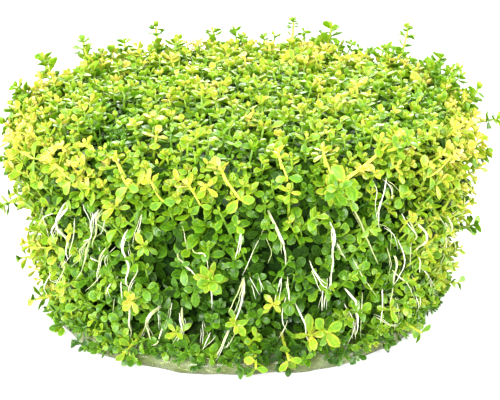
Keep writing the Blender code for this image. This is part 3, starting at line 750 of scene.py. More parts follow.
def grow_sprig(leaves, stems, node, sprig, rng):
    """One sprig that stands off the mat: a bent stem and crossed pairs of leaves."""
    start = sprig_start(node)
    out = direction_of(sprig.angle, 0.4 * sprig.climb + 0.3 * sprig.rise)
    bend = start + out * sprig.length * 0.5 * MM
    end = bend + direction_of(sprig.angle, sprig.rise) * sprig.length * 0.5 * MM
    lowest = LOW_PAIR_ALONE if sprig.pairs == 1 else LOW_PAIR
    broad = RIM_SPRIG_BROAD if sprig.climb > TUFT_CLIMB else SIDE_SPRIG_BROAD

    def path(share):
        return start.lerp(bend, share).lerp(bend.lerp(end, share), share)

    inside = start - direction_of(sprig.angle, sprig.climb) * SPRIG_STEM_DEPTH * MM
    places = [inside] + [path(step / 5.0) for step in range(6)]
    radii = [SPRIG_STEM_RADIUS - SPRIG_STEM_TAPER * k for k in range(len(places))]
    stems.add(places, radii, rng.random(), SPRIG_STEM_YOUNG)
    for k in range(sprig.pairs + 1):
        share = lowest + (TOP_PAIR - lowest) * k / sprig.pairs
        along_stem = (path(share) - path(share - 0.05)).normalized()
        side = along_stem.cross(direction_of(sprig.angle + 60.0, 30.0)).normalized()
        side.rotate(Matrix.Rotation(k * math.pi / 2.0 + rng.uniform(-0.3, 0.3), 3, along_stem))
        size = TOP_PAIR_SIZE if k == sprig.pairs else 1.0
        for way in (1.0, -1.0):
            lean = math.radians(rng.uniform(*SPRIG_LEANS))
            along, facing = leaning(along_stem, side * way, lean)
            facing.rotate(Matrix.Rotation(rng.uniform(-SPRIG_LEAF_ROLL, SPRIG_LEAF_ROLL), 3, along))
            length = sprig.leaf * MM * size * rng.uniform(*SPRIG_LENGTHS)
            leaves.add(path(share), along, facing, length, length * broad, SPRIG_CUP, SPRIG_CURL,
                       SPRIG_PLUMP, rng.random(), rng.uniform(*SPRIG_YOUTH))
    if sprig.climb > HEAD_CLIMB:
        tip = end + (end - bend).normalized() * 0.2 * MM
        grow_shoot(leaves, stems, HEAD_HABIT, tip, (end - bend).normalized(), Vector(), sprig.leaf / 1.9,
                   rng.uniform(0.2, 0.45), rng)
    for shoot in range(TUFT_COUNT if sprig.climb > TUFT_CLIMB else 0):
        apart = Vector((rng.uniform(-1.0, 1.0), rng.uniform(-1.0, 1.0), rng.uniform(-0.4, 0.4)))
        tip = path(rng.uniform(0.0, 0.4)) + apart * 1.5 * MM
        direction = (out + UP * 0.5 + apart * 0.5).normalized()
        grow_shoot(leaves, stems, RIM_HABIT, tip, direction, Vector(), rng.uniform(0.8, 1.1),
                   rng.uniform(0.2, 0.5), rng)
    for way in (1.0, -1.0):
        along = (direction_of(sprig.angle + 90.0 * way, 0.0) * 0.5 + end - bend).normalized()
        facing = direction_of(sprig.angle - 90.0 * way, 0.0)
        leaves.add(end, along, facing, 0.6 * MM, 0.4 * MM, 0.2, 0.05, 0.12 * MM, rng.random(), 0.4)


# Roots

ROOT_RINGS = 6
MAIN_ROOT_WIDTH = 0.6 * MM


def root_line(node):
    """Middle of each ring of corners of a root, from its upper end to its lower end."""
    corners = corners_of(node)
    top, foot = corners[corners[:, 2].argmax()], corners[corners[:, 2].argmin()]
    order = np.argsort(corners @ (foot - top))
    return [Vector(group.mean(axis=0)) for group in np.array_split(corners[order], ROOT_RINGS)]


def root_route(node):
    """The middle line of a root of the solids, made smooth, its upper end tucked in among the leaves."""
    line = root_line(node)
    inward = Vector((line[0].x, line[0].y, 0.0)).normalized() * -ROOT_START_DEPTH
    line[0] += inward
    return [point + waver(point) for point in smooth_path(line, 4)]


# Roots on the near side: thickness where fullest in steps of about 0.06 mm, and the angles in degrees and
# heights in millimetres that each runs through
STRANDS = [
    (2, [(207.5, 20.5), (212, 19)]), (2, [(217.5, 20.5), (213.5, 19.5), (212, 17.5), (211, 15)]),
    (2, [(217.5, 20), (217.5, 18.5), (216, 16.5)]),
    (4, [(222.5, 22), (220, 20), (218, 18.5), (218.5, 17)]), (2, [(214.5, 18.5), (216, 16)]),
    (3, [(224, 20.5), (226, 18.5), (224.5, 16.5), (223.5, 15)]), (2, [(227, 23), (232, 20)]),
    (2, [(228, 23), (231.5, 20.5)]), (2, [(229, 23), (232, 20)]),
    (3, [(233, 23), (232, 21.5), (232, 19.5), (230, 18.5)]),
    (3, [(234.5, 23), (234, 22), (235, 21.5), (237.5, 21)]), (2, [(234, 22), (234.5, 20)]),
    (2, [(228, 19), (227, 16), (226.5, 14)]),
    (3, [(229.5, 18.5), (228, 17), (227.5, 15.5), (223.5, 13.5)]),
    (4, [(229.5, 18.5), (230.5, 17), (229.5, 15.5), (227.5, 14), (224, 11.5)]),
    (2, [(228.5, 15), (230.5, 15.5), (233, 15)]), (2, [(230.5, 17.5), (233.5, 16)]),
    (4, [(235, 18), (234.5, 16.5), (232.5, 13)]), (2, [(236, 17.5), (235, 16), (236, 14)]),
    (3, [(243.5, 15.5), (242, 13), (241, 11.5)]), (2, [(241, 19), (243, 17)]),
    (2, [(216.5, 14), (216, 12)]), (2, [(223, 15.5), (220.5, 13.5)]),
    (2, [(201.5, 10), (208, 8.5), (211, 8), (210.5, 5)]), (3, [(217, 12), (213.5, 8.5)]),
    (2, [(230.5, 12.5), (227.5, 10.5)]), (2, [(236.5, 13), (235, 11.5), (234.5, 10)]),
    (3, [(238, 13), (239, 10.5)]), (2, [(206, 18), (207, 16)]), (2, [(233.5, 9), (233.5, 6.5)]),
    (2, [(243, 6), (239.5, 2.5)]), (2, [(247, 9.5), (248.5, 9), (248.5, 6.5)]),
    (4, [(249, 6.5), (247.5, 4.5), (244.5, 3.5)]), (2, [(251, 10), (251, 7)]),
    (3, [(253.5, 9), (254.5, 7.5), (254, 6), (252, 4)]), (2, [(259, 7), (259.5, 5)]),
    (3, [(261, 6), (259.5, 4)]), (4, [(266, 6.5), (264, 4.5), (261.5, 3), (259.5, 1.5)]),
    (2, [(269, 7), (266.5, 5), (264.5, 4)]), (2, [(262.5, 5), (259, 3.5)]),
    (3, [(281, 12.5), (279.5, 9.5), (281, 7)]), (4, [(283, 10.5), (285, 8.5), (286.5, 5.5), (290, 3)]),
    (3, [(290, 12.5), (289.5, 10)]), (3, [(296.5, 10), (299.5, 6), (298, 2.5)]),
    (2, [(303, 10), (301.5, 7.5), (302.5, 3.5)]), (2, [(304, 8), (302.5, 6)]),
    (4, [(309, 10), (307.5, 6)]), (3, [(314.5, 8), (314.5, 5.5)]),
    (3, [(307.5, 6), (314.5, 4), (321, 3)]), (3, [(293, 3.5), (291.5, 2), (289.5, 1.5)]),
    (2, [(281.5, 7.5), (280, 5.5)]), (2, [(301.5, 5.5), (300, 4)]), (3, [(245.5, 23.5), (245, 20)]),
    (2, [(255, 22.5), (257, 20)]), (3, [(270, 23.5), (268, 19)]), (2, [(273.5, 21), (270.5, 17)]),
    (2, [(275.5, 24), (274, 22)]), (2, [(275, 21), (276.5, 19.5), (276, 17.5)]),
    (3, [(257, 20), (259, 19.5), (261, 19.5), (262, 17.5)]), (3, [(262, 14.5), (262.5, 11)]),
    (4, [(270, 15.5), (268.5, 13.5), (266.5, 10.5)]), (2, [(271.5, 15), (274, 13)]),
    (2, [(273.5, 15.5), (275, 14)]), (3, [(279, 15), (277.5, 12.5)]), (3, [(281, 15), (281, 12)]),
    (3, [(291, 23), (291, 18.5), (290.5, 15)]), (3, [(291.5, 21), (294, 18)]),
    (3, [(286.5, 17), (288, 15), (290, 13.5)]), (3, [(291, 14), (290, 10.5)]),
    (3, [(297.5, 16.5), (300, 14), (305, 10.5)]),
    (3, [(305.5, 28.5), (302.5, 26.5), (302, 23.5), (303, 21)]),
    (2, [(302.5, 28), (302.5, 26.5), (302, 25), (303, 22.5)]),
    (2, [(305.5, 28), (305.5, 27), (306, 25)]), (3, [(311, 22), (315, 18.5)]),
    (4, [(313.5, 21), (314, 19), (313.5, 17.5), (314, 14)]),
    (3, [(311, 18), (311.5, 15), (311, 13), (309.5, 11.5)]), (2, [(308, 17), (308, 15), (308, 13.5)]),
    (2, [(304.5, 21), (307, 20), (307.5, 17)]), (4, [(311, 13), (315, 11), (319.5, 8)]),
    (3, [(325.5, 10.5), (333, 6)]), (3, [(320.5, 10.5), (321.5, 7.5), (324, 4.5)]),
    (3, [(328.5, 19), (333.5, 15.5), (340, 11)]), (2, [(333, 18.5), (336.5, 15.5)]),
]

# Roots on the far side: where their angles start, how far these spread and how far a root sways, in degrees,
# the heights of their tops, how far they fall and how low they reach, in millimetres, and their thickness as
# in the table
FAR_STRAND_COUNT = 50
FAR_STRAND_ANGLE, FAR_STRAND_SPREAD = 350.0, 215.0
FAR_STRAND_SWAYS = (-4.0, 4.0)
FAR_STRAND_TOPS = (7.0, 24.0)
FAR_STRAND_FALLS = (2.0, 7.0)
FAR_STRAND_LOWEST = 3.0
FAR_STRAND_WIDTHS = (2, 3, 3, 4)

# How far roots lie inside the tips of the shoots, how deep they start, and how thick they are
STRAND_INSET = -0.1 * MM
THIN_STRAND_INSET = 0.5 * MM
ROOT_START_DEPTH = 1.6 * MM
STRAND_STEP = 0.1
STRAND_RADIUS = 0.27

# The thin root beside a thick one and the root hairs: size, how far beside they start and how far they stray
BESIDE_RADIUS, BESIDE_GAP, BESIDE_STRAY = 0.14, 0.45, 1.6
BESIDE_MIN_WIDTH = 0.36 * MM
BESIDE_SHARE = 0.5
HAIR_RADIUS, HAIR_GAP, HAIR_STRAY = 0.055 * MM, 0.35, 1.3
HAIR_COUNTS = (0, 1, 2)
HAIR_STEPS = (5, 12)
HAIR_MIN_STEPS = 4

# Fine and broad bends of the roots, in millimetres
FINE_BEND_SIZE, FINE_BEND = 1.5, 0.13
BROAD_BEND_SIZE, BROAD_BEND = 4.0, 0.32


def strand_route(strand, rng):
    """A smooth route through the places of a strand, a little inside the tips of the shoots."""
    points = []
    inset = THIN_STRAND_INSET if strand[0] < 3 else STRAND_INSET
    for i, (angle, height) in enumerate(strand[1]):
        point, normal = side_place(angle, height * MM)
        hidden = ROOT_START_DEPTH if i == 0 else 0.0
        points.append(point - normal * (inset + hidden + rng.uniform(-0.3, 0.4) * MM))
    return [point + waver(point) for point in smooth_path(points, 5)]


def waver(point):
    """A slight irregularity of a root at this place."""
    fine = noise.noise_vector(point / (FINE_BEND_SIZE * MM)) * FINE_BEND * MM
    broad = noise.noise_vector(point / (BROAD_BEND_SIZE * MM)) * BROAD_BEND * MM
    return fine + broad


def far_strands(rng):
    """Roots on the far side, which hang and sway a little."""
    strands = []
    for i in range(FAR_STRAND_COUNT):
        angle = FAR_STRAND_ANGLE + FAR_STRAND_SPREAD * ((i * GOLDEN_SECTION) % 1.0)
        top = rng.uniform(*FAR_STRAND_TOPS)
        fall = min(rng.uniform(*FAR_STRAND_FALLS), top - FAR_STRAND_LOWEST)
        sway = rng.uniform(*FAR_STRAND_SWAYS)
        route = [(angle, top), (angle + 0.6 * sway, top - 0.5 * fall), (angle + sway, top - fall)]
        strands.append((rng.choice(FAR_STRAND_WIDTHS), route))
    return strands


def root_thickness(share):
    """Thickness of a root at a share of its length: fullest near its upper end, and fine at its tip."""
    return 0.25 + 0.85 * min(1.0, 6.0 * share + 0.4) * (1.0 - share) ** 0.6


def add_root(roots, route, width, rng):
    """A tapering root, with a thin one beside it where it is thick."""
    count = len(route)
    radii = [STRAND_RADIUS * width * root_thickness(i / (count - 1)) for i in range(count)]
    roots.add(route, radii, rng.random(), rng.random())
    if width < BESIDE_MIN_WIDTH or rng.random() < BESIDE_SHARE:
        return
    beside = scatter(rng).normalized() * BESIDE_GAP * width
    apart = scatter(rng) * BESIDE_STRAY * width
    end = count - count // 4
    path = [route[i] + beside + apart * (i / count) ** 2 for i in range(end)]
    radii = [BESIDE_RADIUS * width * root_thickness(i / (end - 1)) for i in range(end)]
    roots.add(path, radii, rng.random(), rng.random())


def grow_root_hairs(hairs, route, rng):
    """Fine side roots that run beside a root and stray from it towards its tip."""
    count = len(route)
    for hair in range(rng.choice(HAIR_COUNTS)):
        first = rng.randrange(0, count // 2)
        last = min(count, first + rng.randrange(*HAIR_STEPS))
        if last - first < HAIR_MIN_STEPS:
            continue
        beside = scatter(rng) * HAIR_GAP * MM
        apart = scatter(rng) * HAIR_STRAY * MM
        path = [route[i] + beside + apart * ((i - first) / count) ** 1.5 for i in range(first, last)]
        path = [point + waver(point + beside * 8.0) for point in path]
        radii = [HAIR_RADIUS * root_thickness(i / (len(path) - 1)) for i in range(len(path))]
        hairs.add(path, radii, rng.random(), rng.random())


# Gel

# The gel's edge: a bulge on the near side, in millimetres and radians, and waves round it: how many, how
# high in millimetres and where they start
GEL_BULGE, BULGE_TURN, BULGE_SPREAD = 1.7, 4.4, 0.75
GEL_WAVES = [(5.0, 0.4, 0.7), (11.0, 0.3, 2.1), (23.0, 0.25, 0.0)]

# The gel's side from its foot up: distance out from the edge and height, in millimetres
GEL_PROFILE = [(-1.1, 0.0), (-0.35, 0.06), (-0.05, 0.4), (0.1, 0.9), (0.0, 1.5), (-0.25, 2.0), (-0.9, 2.35),
               (-2.2, 2.4)]
GEL_TURNS = 240
GEL_STRAND_COUNT = 130


def gel_wave(turn):
    """How far the gel's edge waves out here, in millimetres."""
    wave = GEL_BULGE * math.exp(-((turn - BULGE_TURN) / BULGE_SPREAD) ** 2)
    for number, height, start in GEL_WAVES:
        wave += height * math.sin(number * turn + start)
    return wave


def gel_mesh():
    """The gel: a wavy, wrinkled rim round a flat pad, with its underside flat on the ground."""
    corners = []
    for inset, height in GEL_PROFILE:
        for i in range(GEL_TURNS):
            turn = 2.0 * math.pi * i / GEL_TURNS
            spot = turned(1.0, height * 0.15, turn) * 9.0
            wrinkle = 0.35 * noise.noise(spot) + 0.16 * noise.noise(spot * 3.1)
            rise = 0.25 * noise.noise(spot * 1.7 + UP * 5.0) if height > 1.0 else 0.0
            radius = GEL_RADIUS - 0.6 * MM + (gel_wave(turn) + wrinkle + inset) * MM
            corners.append(turned(radius, (height + rise) * MM, turn))
    corners += [Vector(), UP * GEL_PROFILE[-1][1] * MM]
    return mesh_from("gel_rim", np.array(corners), np.array(tube_faces(len(GEL_PROFILE), GEL_TURNS)))


def grow_gel_strands(roots, rng):
    """Fine roots that spread through the edge of the gel."""
    for i in range(GEL_STRAND_COUNT):
        turn = 2.0 * math.pi * (i + rng.random()) / GEL_STRAND_COUNT
        swing = rng.uniform(-0.2, 0.2)
        start = GEL_RADIUS - rng.uniform(1.2, 1.8) * MM
        end = GEL_RADIUS - rng.uniform(0.75, 1.2) * MM
        heights = (2.3, rng.uniform(1.2, 2.0), rng.uniform(0.5, 1.6), rng.uniform(0.4, 1.2))
        route = []
        for k, height in enumerate(heights):
            angle = turn + swing * (k / 3.0) ** 1.5
            radius = start + (end - start) * k / 3.0 + gel_wave(angle) * MM
            route.append(turned(radius, height * MM, angle))
        path = smooth_path(route, 2)
        roots.add(path, [rng.uniform(0.05, 0.09) * MM] * len(path), rng.random(), rng.random())


# The heart of the mat, which closes the gaps; near-black where it shows between the leaves, as painted shade

# The foot of the tangle in the gel: distance inside the gel's edge and height, in millimetres
GEL_FOOT = [(2.2, 2.3), (1.1, 2.05), (0.9, 1.5), (1.3, 0.9), (2.4, 0.3)]
HEART_DEPTH = 5.0 * MM
HEART_TURNS = 150
HEART_RINGS = 64

# Bumps of the heart: size and height in millimetres
HEART_BUMPS = [(2.2, 0.9), (0.9, 0.45)]
HEART_HOLLOW_SHARE = 0.5


def heart_mesh():
    """A rough closed surface some way inside the mat, with its foot in the gel."""
    corners = []
    for r in range(HEART_RINGS):
        for i in range(HEART_TURNS):
            turn = 2.0 * math.pi * (i + 0.5 * (r % 2)) / HEART_TURNS
            point, normal = surface.place(surface.total * ((r + 0.4) / HEART_RINGS) ** 1.15, turn)
            rough = sum(noise.noise(point / (size * MM)) * height for size, height in HEART_BUMPS)
            hollow = HEART_HOLLOW_SHARE * hollow_depth(point)[0]
            corners.append(point + normal * (rough * MM + lump(point) * LUMP_DEPTH - HEART_DEPTH - hollow))
    for inset, height in GEL_FOOT:
        for i in range(HEART_TURNS):
            turn = 2.0 * math.pi * i / HEART_TURNS
            radius = GEL_RADIUS + (gel_wave(turn) - inset) * MM
            place_in = turned(radius, height * MM, turn)
            rough = noise.noise(place_in / (1.5 * MM)) * 0.35 * MM
            corners.append(place_in * (1.0 + rough / radius))
    corners += [UP * (TIP_CROWN - HEART_DEPTH), UP * GEL_FOOT[-1][1] * MM]
    # The rings run downwards, so the faces are turned over
    faces = np.array(tube_faces(HEART_RINGS + len(GEL_FOOT), HEART_TURNS))[:, ::-1]
    mesh = mesh_from("mat_heart", np.array(corners), faces)
    store(mesh, "in_gel", [float(corner.z < GEL_TOP) for corner in corners])
    return mesh


# Materials

class Paint:
    """A material under construction, with short calls for the nodes that a plant needs."""

    def __init__(self, name):
        self.material = bpy.data.materials.new(name)
        self.material.use_nodes = True
        self.nodes = self.material.node_tree.nodes
        self.links = self.material.node_tree.links
        self.shader = self.nodes["Principled BSDF"]
        self.output = self.nodes["Material Output"]

    def set(self, socket, value):
        """Give a socket a value, or link another socket to it."""
        if isinstance(value, bpy.types.NodeSocket):
            self.links.new(value, socket)
        elif isinstance(value, tuple) and len(value) == 3 and socket.type == "RGBA":
            socket.default_value = (*value, 1.0)
        else:
            socket.default_value = value

    def attribute(self, name):
        """A number kept on the mesh."""
        node = self.nodes.new("ShaderNodeAttribute")
        node.attribute_name = name
        return node.outputs["Fac"]

    def noise(self, size, detail=2.0):
        """Noise with features about this big, from 0 to 1."""
        place = self.nodes.new("ShaderNodeTexCoord")
        node = self.nodes.new("ShaderNodeTexNoise")
        node.inputs["Scale"].default_value = 1.0 / size
        node.inputs["Detail"].default_value = detail
        self.links.new(place.outputs["Object"], node.inputs["Vector"])
        return node.outputs["Fac"]

    def calculate(self, operation, first, second=0.0, clamp=False):
        """A sum on numbers or sockets."""
        node = self.nodes.new("ShaderNodeMath")
        node.operation = operation
        node.use_clamp = clamp
        self.set(node.inputs[0], first)
        self.set(node.inputs[1], second)
        return node.outputs[0]

    def surface(self, values):
        """Give inputs of the shader their values by name."""
        for name, value in values.items():
            self.set(self.shader.inputs[name], value)

    def remap(self, value, low, high, new_low, new_high):
        """Carry a value from one range to another, smoothly and without passing its ends."""
        node = self.nodes.new("ShaderNodeMapRange")
        node.interpolation_type = "SMOOTHSTEP"
        names = ("From Min", "From Max", "To Min", "To Max")
        for name, number in zip(names, (low, high, new_low, new_high)):
            node.inputs[name].default_value = number
        self.links.new(value, node.inputs["Value"])
        return node.outputs["Result"]

    def mottle(self, size, low, high, detail=2.0):
        """Blotches about this big, with values from low to high."""
        return self.remap(self.noise(size, detail), 0.3, 0.7, low, high)

    def ramp(self, value, stops):
        """Colours at places from 0 to 1."""
        node = self.nodes.new("ShaderNodeValToRGB")
        ramp = node.color_ramp
        while len(ramp.elements) < len(stops):
            ramp.elements.new(1.0)
        for element, (place, colour) in zip(ramp.elements, stops):
            element.position = place
            element.color = (*colour, 1.0)
        self.links.new(value, node.inputs["Fac"])
        return node.outputs["Color"]

    def blend(self, share, first, second):
        """One colour or the other, by a share from 0 to 1."""
        node = self.nodes.new("ShaderNodeMix")
        node.data_type = "RGBA"
        colours = [socket for socket in node.inputs if socket.type == "RGBA"]
        self.links.new(share, node.inputs["Factor"])
        self.set(colours[0], first)
        self.set(colours[1], second)
        return next(socket for socket in node.outputs if socket.type == "RGBA")

    def bump(self, height, strength, distance):
        """Small relief, linked to the shader."""
        node = self.nodes.new("ShaderNodeBump")
        node.inputs["Strength"].default_value = strength
        node.inputs["Distance"].default_value = distance
        self.links.new(height, node.inputs["Height"])
        self.links.new(node.outputs["Normal"], self.shader.inputs["Normal"])
        return node.outputs["Normal"]

    def let_light_through(self, colour, share, normal):
        """Mix in light that falls through the leaf from behind."""
        through = self.nodes.new("ShaderNodeBsdfTranslucent")
        self.set(through.inputs["Color"], colour)
        self.links.new(normal, through.inputs["Normal"])
        mix = self.nodes.new("ShaderNodeMixShader")
        mix.inputs["Fac"].default_value = share
        self.links.new(self.shader.outputs["BSDF"], mix.inputs[1])
        self.links.new(through.outputs["BSDF"], mix.inputs[2])
        self.links.new(mix.outputs["Shader"], self.output.inputs["Surface"])


DEEP_GREEN = (0.03, 0.1, 0.006)
MID_GREEN = (0.11, 0.29, 0.008)
LIME = (0.28, 0.46, 0.012)
YELLOW_GREEN = (0.52, 0.51, 0.045)
YELLOW = (0.76, 0.65, 0.18)
# Painted highlight: the cream end of the leaf colours, which the palest young leaves and their rims reach.
CREAM_HIGHLIGHT = (0.86, 0.77, 0.42)
GOLD = (0.72, 0.5, 0.015)
LEAF_STOPS = [(0.0, DEEP_GREEN), (0.22, MID_GREEN), (0.45, LIME), (0.66, YELLOW_GREEN), (0.9, YELLOW),
              (1.0, CREAM_HIGHLIGHT)]
# Painted shade: darker, duller leaf colours for the leaves deep inside the mat.
SHADED_LEAF_STOPS = [(0.0, (0.014, 0.045, 0.002)), (0.25, (0.045, 0.13, 0.005)), (0.6, (0.12, 0.25, 0.008))]
STEM_STOPS = [(0.0, (0.07, 0.2, 0.01)), (0.45, (0.26, 0.46, 0.02)), (0.75, (0.62, 0.64, 0.06)),
              (1.0, (0.8, 0.7, 0.07))]
ROOT_STOPS = [(0.0, (0.42, 0.5, 0.17)), (0.4, (0.66, 0.7, 0.4)), (0.8, (0.85, 0.86, 0.7))]
GEL_STOPS = [(0.35, (0.46, 0.58, 0.16)), (0.7, (0.8, 0.88, 0.52))]
# Painted shade: near-black greens for the heart where it shows between the leaves.
HEART_SHADE_STOPS = [(0.3, (0.004, 0.012, 0.002)), (0.6, (0.012, 0.045, 0.004)), (0.75, (0.03, 0.09, 0.008))]
OLIVE_STOPS = [(0.3, (0.025, 0.045, 0.006)), (0.5, (0.06, 0.1, 0.015)), (0.7, (0.16, 0.21, 0.045))]


def leaf_material(name, stops, gloss):
    """Leaves from deep green through lime to yellow, yellow towards a young foot, and paler at the rim as a
    painted highlight.
    """
    paint = Paint(name)
    young = paint.attribute("young")
    edge = paint.attribute("edge")
    # Painted highlight: each leaf is paler towards its rim, most of all a young one.
    rim = paint.calculate("MULTIPLY", paint.remap(edge, 0.35, 1.0, 0.0, 0.25),
                          paint.remap(young, -0.1, 0.5, 0.5, 1.0))
    rib = paint.remap(edge, 0.0, 0.18, 0.1, 0.0)
    tone = paint.calculate("MULTIPLY", paint.attribute("tone"), 0.09)
    mottle = paint.mottle(0.45 * MM, -0.06, 0.06)
    along = paint.attribute("along")
    foot = paint.calculate("MULTIPLY", paint.remap(along, 0.0, 0.75, 0.3, -0.2), young)
    golden = paint.calculate("MULTIPLY", paint.remap(along, 0.0, 0.6, 0.9, 0.0),
                             paint.remap(young, 0.36, 0.7, 0.0, 1.0))
    ripe = paint.calculate("ADD", young, rim)
    for part in (rib, mottle, foot):
        ripe = paint.calculate("ADD", ripe, part)
    ripe = paint.calculate("ADD", ripe, tone, clamp=True)
    colour = paint.blend(golden, paint.ramp(ripe, stops), GOLD)
    roughness = paint.mottle(0.8 * MM, 0.28, 0.42)
    paint.surface({"Base Color": colour, "Roughness": roughness, "Specular IOR Level": gloss})
    normal = paint.bump(paint.noise(0.5 * MM, 2.0), 0.3, 0.12 * MM)
    paint.let_light_through(colour, 0.35, normal)
    return paint.material


def stem_material():
    """Stems from lime to warm yellow, paler and greener from one to the next."""
    paint = Paint("stem")
    mottle = paint.mottle(1.2 * MM, -0.1, 0.1)
    ripe = paint.calculate("ADD", paint.attribute("young"), mottle)
    colour = paint.ramp(ripe, STEM_STOPS)
    paint.surface({"Base Color": colour, "Roughness": 0.38})
    normal = paint.bump(paint.noise(0.25 * MM, 3.0), 0.2, 0.05 * MM)
    paint.let_light_through(colour, 0.2, normal)
    return paint.material


def root_material():
    """Ivory white, moist roots, some of them greenish."""
    paint = Paint("root")
    mottle = paint.mottle(0.9 * MM, -0.25, 0.25, 3.0)
    shade = paint.calculate("ADD", paint.attribute("tone"), mottle)
    colour = paint.ramp(shade, ROOT_STOPS)
    paint.surface({"Base Color": colour, "Roughness": 0.32})
    normal = paint.bump(paint.noise(0.2 * MM, 3.0), 0.1, 0.05 * MM)
    paint.let_light_through(colour, 0.2, normal)
    return paint.material


def gel_material():
    """Clear gel with an olive grey tint and fine wrinkles."""
    paint = Paint("gel")
    milky = paint.noise(2.5 * MM, 2.0)
    colour = paint.ramp(milky, GEL_STOPS)
    paint.surface({"Base Color": colour, "Roughness": paint.remap(milky, 0.4, 0.7, 0.2, 0.4),
                   "Transmission Weight": 0.8, "IOR": 1.34})
    paint.bump(paint.noise(1.6 * MM, 1.0), 0.2, 0.2 * MM)
    return paint.material


def heart_material():
    """The tangle deep in the mat, painted near-black between the leaves as shade, and olive in the gel."""
    paint = Paint("mat_heart")
    shade = paint.noise(1.1 * MM, 4.0)
    painted_shade, olive = paint.ramp(shade, HEART_SHADE_STOPS), paint.ramp(shade, OLIVE_STOPS)
    colour = paint.blend(paint.attribute("in_gel"), painted_shade, olive)
    paint.surface({"Base Color": colour, "Roughness": 0.9, "Specular IOR Level": 0.1})
    paint.bump(paint.noise(0.5 * MM, 4.0), 0.6, 0.3 * MM)
    return paint.material


# Pieces

def place(mesh, material, slot, replaced):
    """Put a mesh in the scene as a piece of the plug."""
    mesh.materials.append(material)
    thing = bpy.data.objects.new(mesh.name, mesh)
    bpy.context.scene.collection.objects.link(thing)
    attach(thing, "root")
    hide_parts(*replaced)


def build_plant():
    """Grow the plug, piece by piece."""
    leaf, stem, white = leaf_material("leaf", LEAF_STOPS, 0.42), stem_material(), root_material()
    # The leaves deep in the mat get a darker, less glossy copy of the leaf material as painted shade.
    deep_leaf_shaded = leaf_material("deep_leaf_shaded", SHADED_LEAF_STOPS, 0.1)
    rng = random.Random(SEED)

    root_nodes = sorted(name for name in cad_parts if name.startswith("root"))
    routes = [(root_route(node), MAIN_ROOT_WIDTH) for node in root_nodes]
    strands = STRANDS + far_strands(rng)
    routes += [(strand_route(strand, rng), strand[0] * STRAND_STEP * MM) for strand in strands]
    root_tree = KDTree(sum(len(route) for route, width in routes))
    for route, width in routes:
        for point in route:
            root_tree.insert(point, 0)
    root_tree.balance()
    roots = Tubes(6)
    for route, width in routes:
        add_root(roots, route, width, rng)
    place(roots.mesh("roots"), white, "root", root_nodes)
    hairs = Tubes(4)
    for route, width in routes:
        grow_root_hairs(hairs, route, rng)
    grow_gel_strands(hairs, rng)
    place(hairs.mesh("root_hairs"), white, "root", root_nodes)

    top_area, rim_area = surface.area[OUTLINE_STEPS], surface.area[2 * OUTLINE_STEPS]
    stems = Tubes(5)
    middle_area = 0.5 * (rim_area + surface.total)
    top, rim, inner = (Leaves(SMALL_LEAF_STATIONS) for piece in range(3))
    side, low, fringe = (Leaves() for piece in range(3))
    for leaves, field, area_from, area_to in ((top, TOP_FIELD, 0.0, top_area),
                                              (rim, RIM_FIELD, top_area, rim_area),
                                              (side, SIDE_FIELD, rim_area, middle_area),
                                              (low, SIDE_FIELD, middle_area, surface.total)):
        grow_field(leaves, stems, field, area_from, area_to, root_tree, rng)
    for grow in (grow_fringe, grow_rosettes, grow_leaners, grow_tufts):
        grow(fringe, stems, rng)
    grow_inner_leaves(inner, rng)
    for leaves, name in ((top, "leaves_top"), (rim, "leaves_rim"), (side, "leaves_side"),
                         (low, "leaves_low"), (fringe, "leaves_fringe")):
        place(leaves.mesh(name), leaf, "leaf", ["leaf_mat"])
    place(inner.mesh("leaves_inner"), deep_leaf_shaded, "leaf", ["leaf_mat"])
    place(stems.mesh("stems"), stem, "sprig", ["leaf_mat"])
    place(heart_mesh(), heart_material(), "leaf", ["leaf_mat"])

    sprig_leaves, sprig_stems = Leaves(), Tubes(6)
    sprig_nodes = sorted(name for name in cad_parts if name.startswith("sprig"))
    for node, sprig in zip(sprig_nodes, SPRIGS + far_sprigs()):
        grow_sprig(sprig_leaves, sprig_stems, node, sprig, rng)
    place(sprig_leaves.mesh("sprig_leaves"), leaf, "sprig", sprig_nodes)
    place(sprig_stems.mesh("sprig_stems"), stem, "sprig", sprig_nodes)
    place(gel_mesh(), gel_material(), "gel", ["gel_pad"])


# Studio

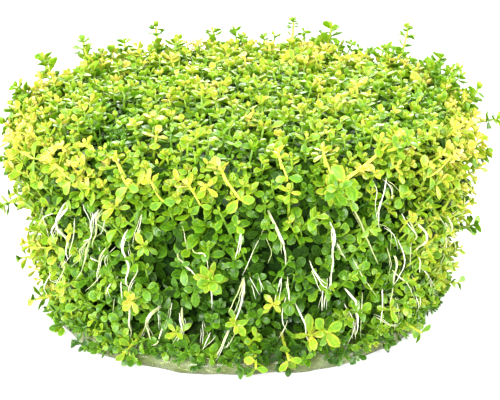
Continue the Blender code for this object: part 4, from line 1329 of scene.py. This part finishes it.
# Lights: place and size in metres, and power in watts
LIGHTS = {
    "overhead": ((-0.05, -0.02, 0.5), 0.22, 2.3),
    "front": ((-0.15, -0.58, 0.28), 0.3, 7.4),
    "back": ((0.0, 0.52, 0.3), 0.45, 8.0),
    "left": ((-0.55, -0.12, 0.2), 0.4, 6.8),
    "right": ((0.55, -0.12, 0.2), 0.4, 7.4),
}
SKY_STRENGTH = 0.55
FLOOR_REACH = 3.0
FLOOR_LEVEL = -0.02 * MM


def build_studio():
    """The camera, a white sky, soft lights and a pale floor just under the plug."""
    scene = bpy.context.scene
    camera = bpy.data.objects.new("camera", bpy.data.cameras.new("camera"))
    scene.collection.objects.link(camera)
    camera.location = CAMERA_PLACE
    camera.rotation_euler = (CAMERA_TILT, 0.0, 0.0)
    camera.data.lens = CAMERA_LENS
    camera.data.sensor_width = 36.0
    camera.data.clip_start = 0.01
    scene.camera = camera
    scene.view_settings.view_transform = "Standard"

    world = bpy.data.worlds.new("studio")
    world.use_nodes = True
    sky = world.node_tree.nodes["Background"]
    sky.inputs["Color"].default_value = (1.0, 1.0, 1.0, 1.0)
    sky.inputs["Strength"].default_value = SKY_STRENGTH
    scene.world = world

    for name, (place_at, size, power) in LIGHTS.items():
        add_light(name, place_at, size, power)

    signs = ((-1, -1), (1, -1), (1, 1), (-1, 1))
    corners = [(x * FLOOR_REACH, y * FLOOR_REACH, FLOOR_LEVEL) for x, y in signs]
    mesh = bpy.data.meshes.new("floor")
    mesh.from_pydata(corners, [], [(0, 1, 2, 3)])
    floor = bpy.data.objects.new("floor", mesh)
    scene.collection.objects.link(floor)
    paint = Paint("floor")
    paint.surface({"Base Color": (0.4, 0.4, 0.4), "Roughness": 0.8, "Emission Color": (1.0, 1.0, 1.0),
                   "Emission Strength": 0.6})
    mesh.materials.append(paint.material)


def add_light(name, place_at, size, power):
    """A soft square light that faces the plug."""
    light = bpy.data.lights.new(name, "AREA")
    light.shape = "SQUARE"
    light.size = size
    light.energy = power
    thing = bpy.data.objects.new(name, light)
    thing.location = place_at
    thing.rotation_euler = (HEART - Vector(place_at)).to_track_quat("-Z", "Y").to_euler()
    bpy.context.scene.collection.objects.link(thing)


build_plant()
build_studio()
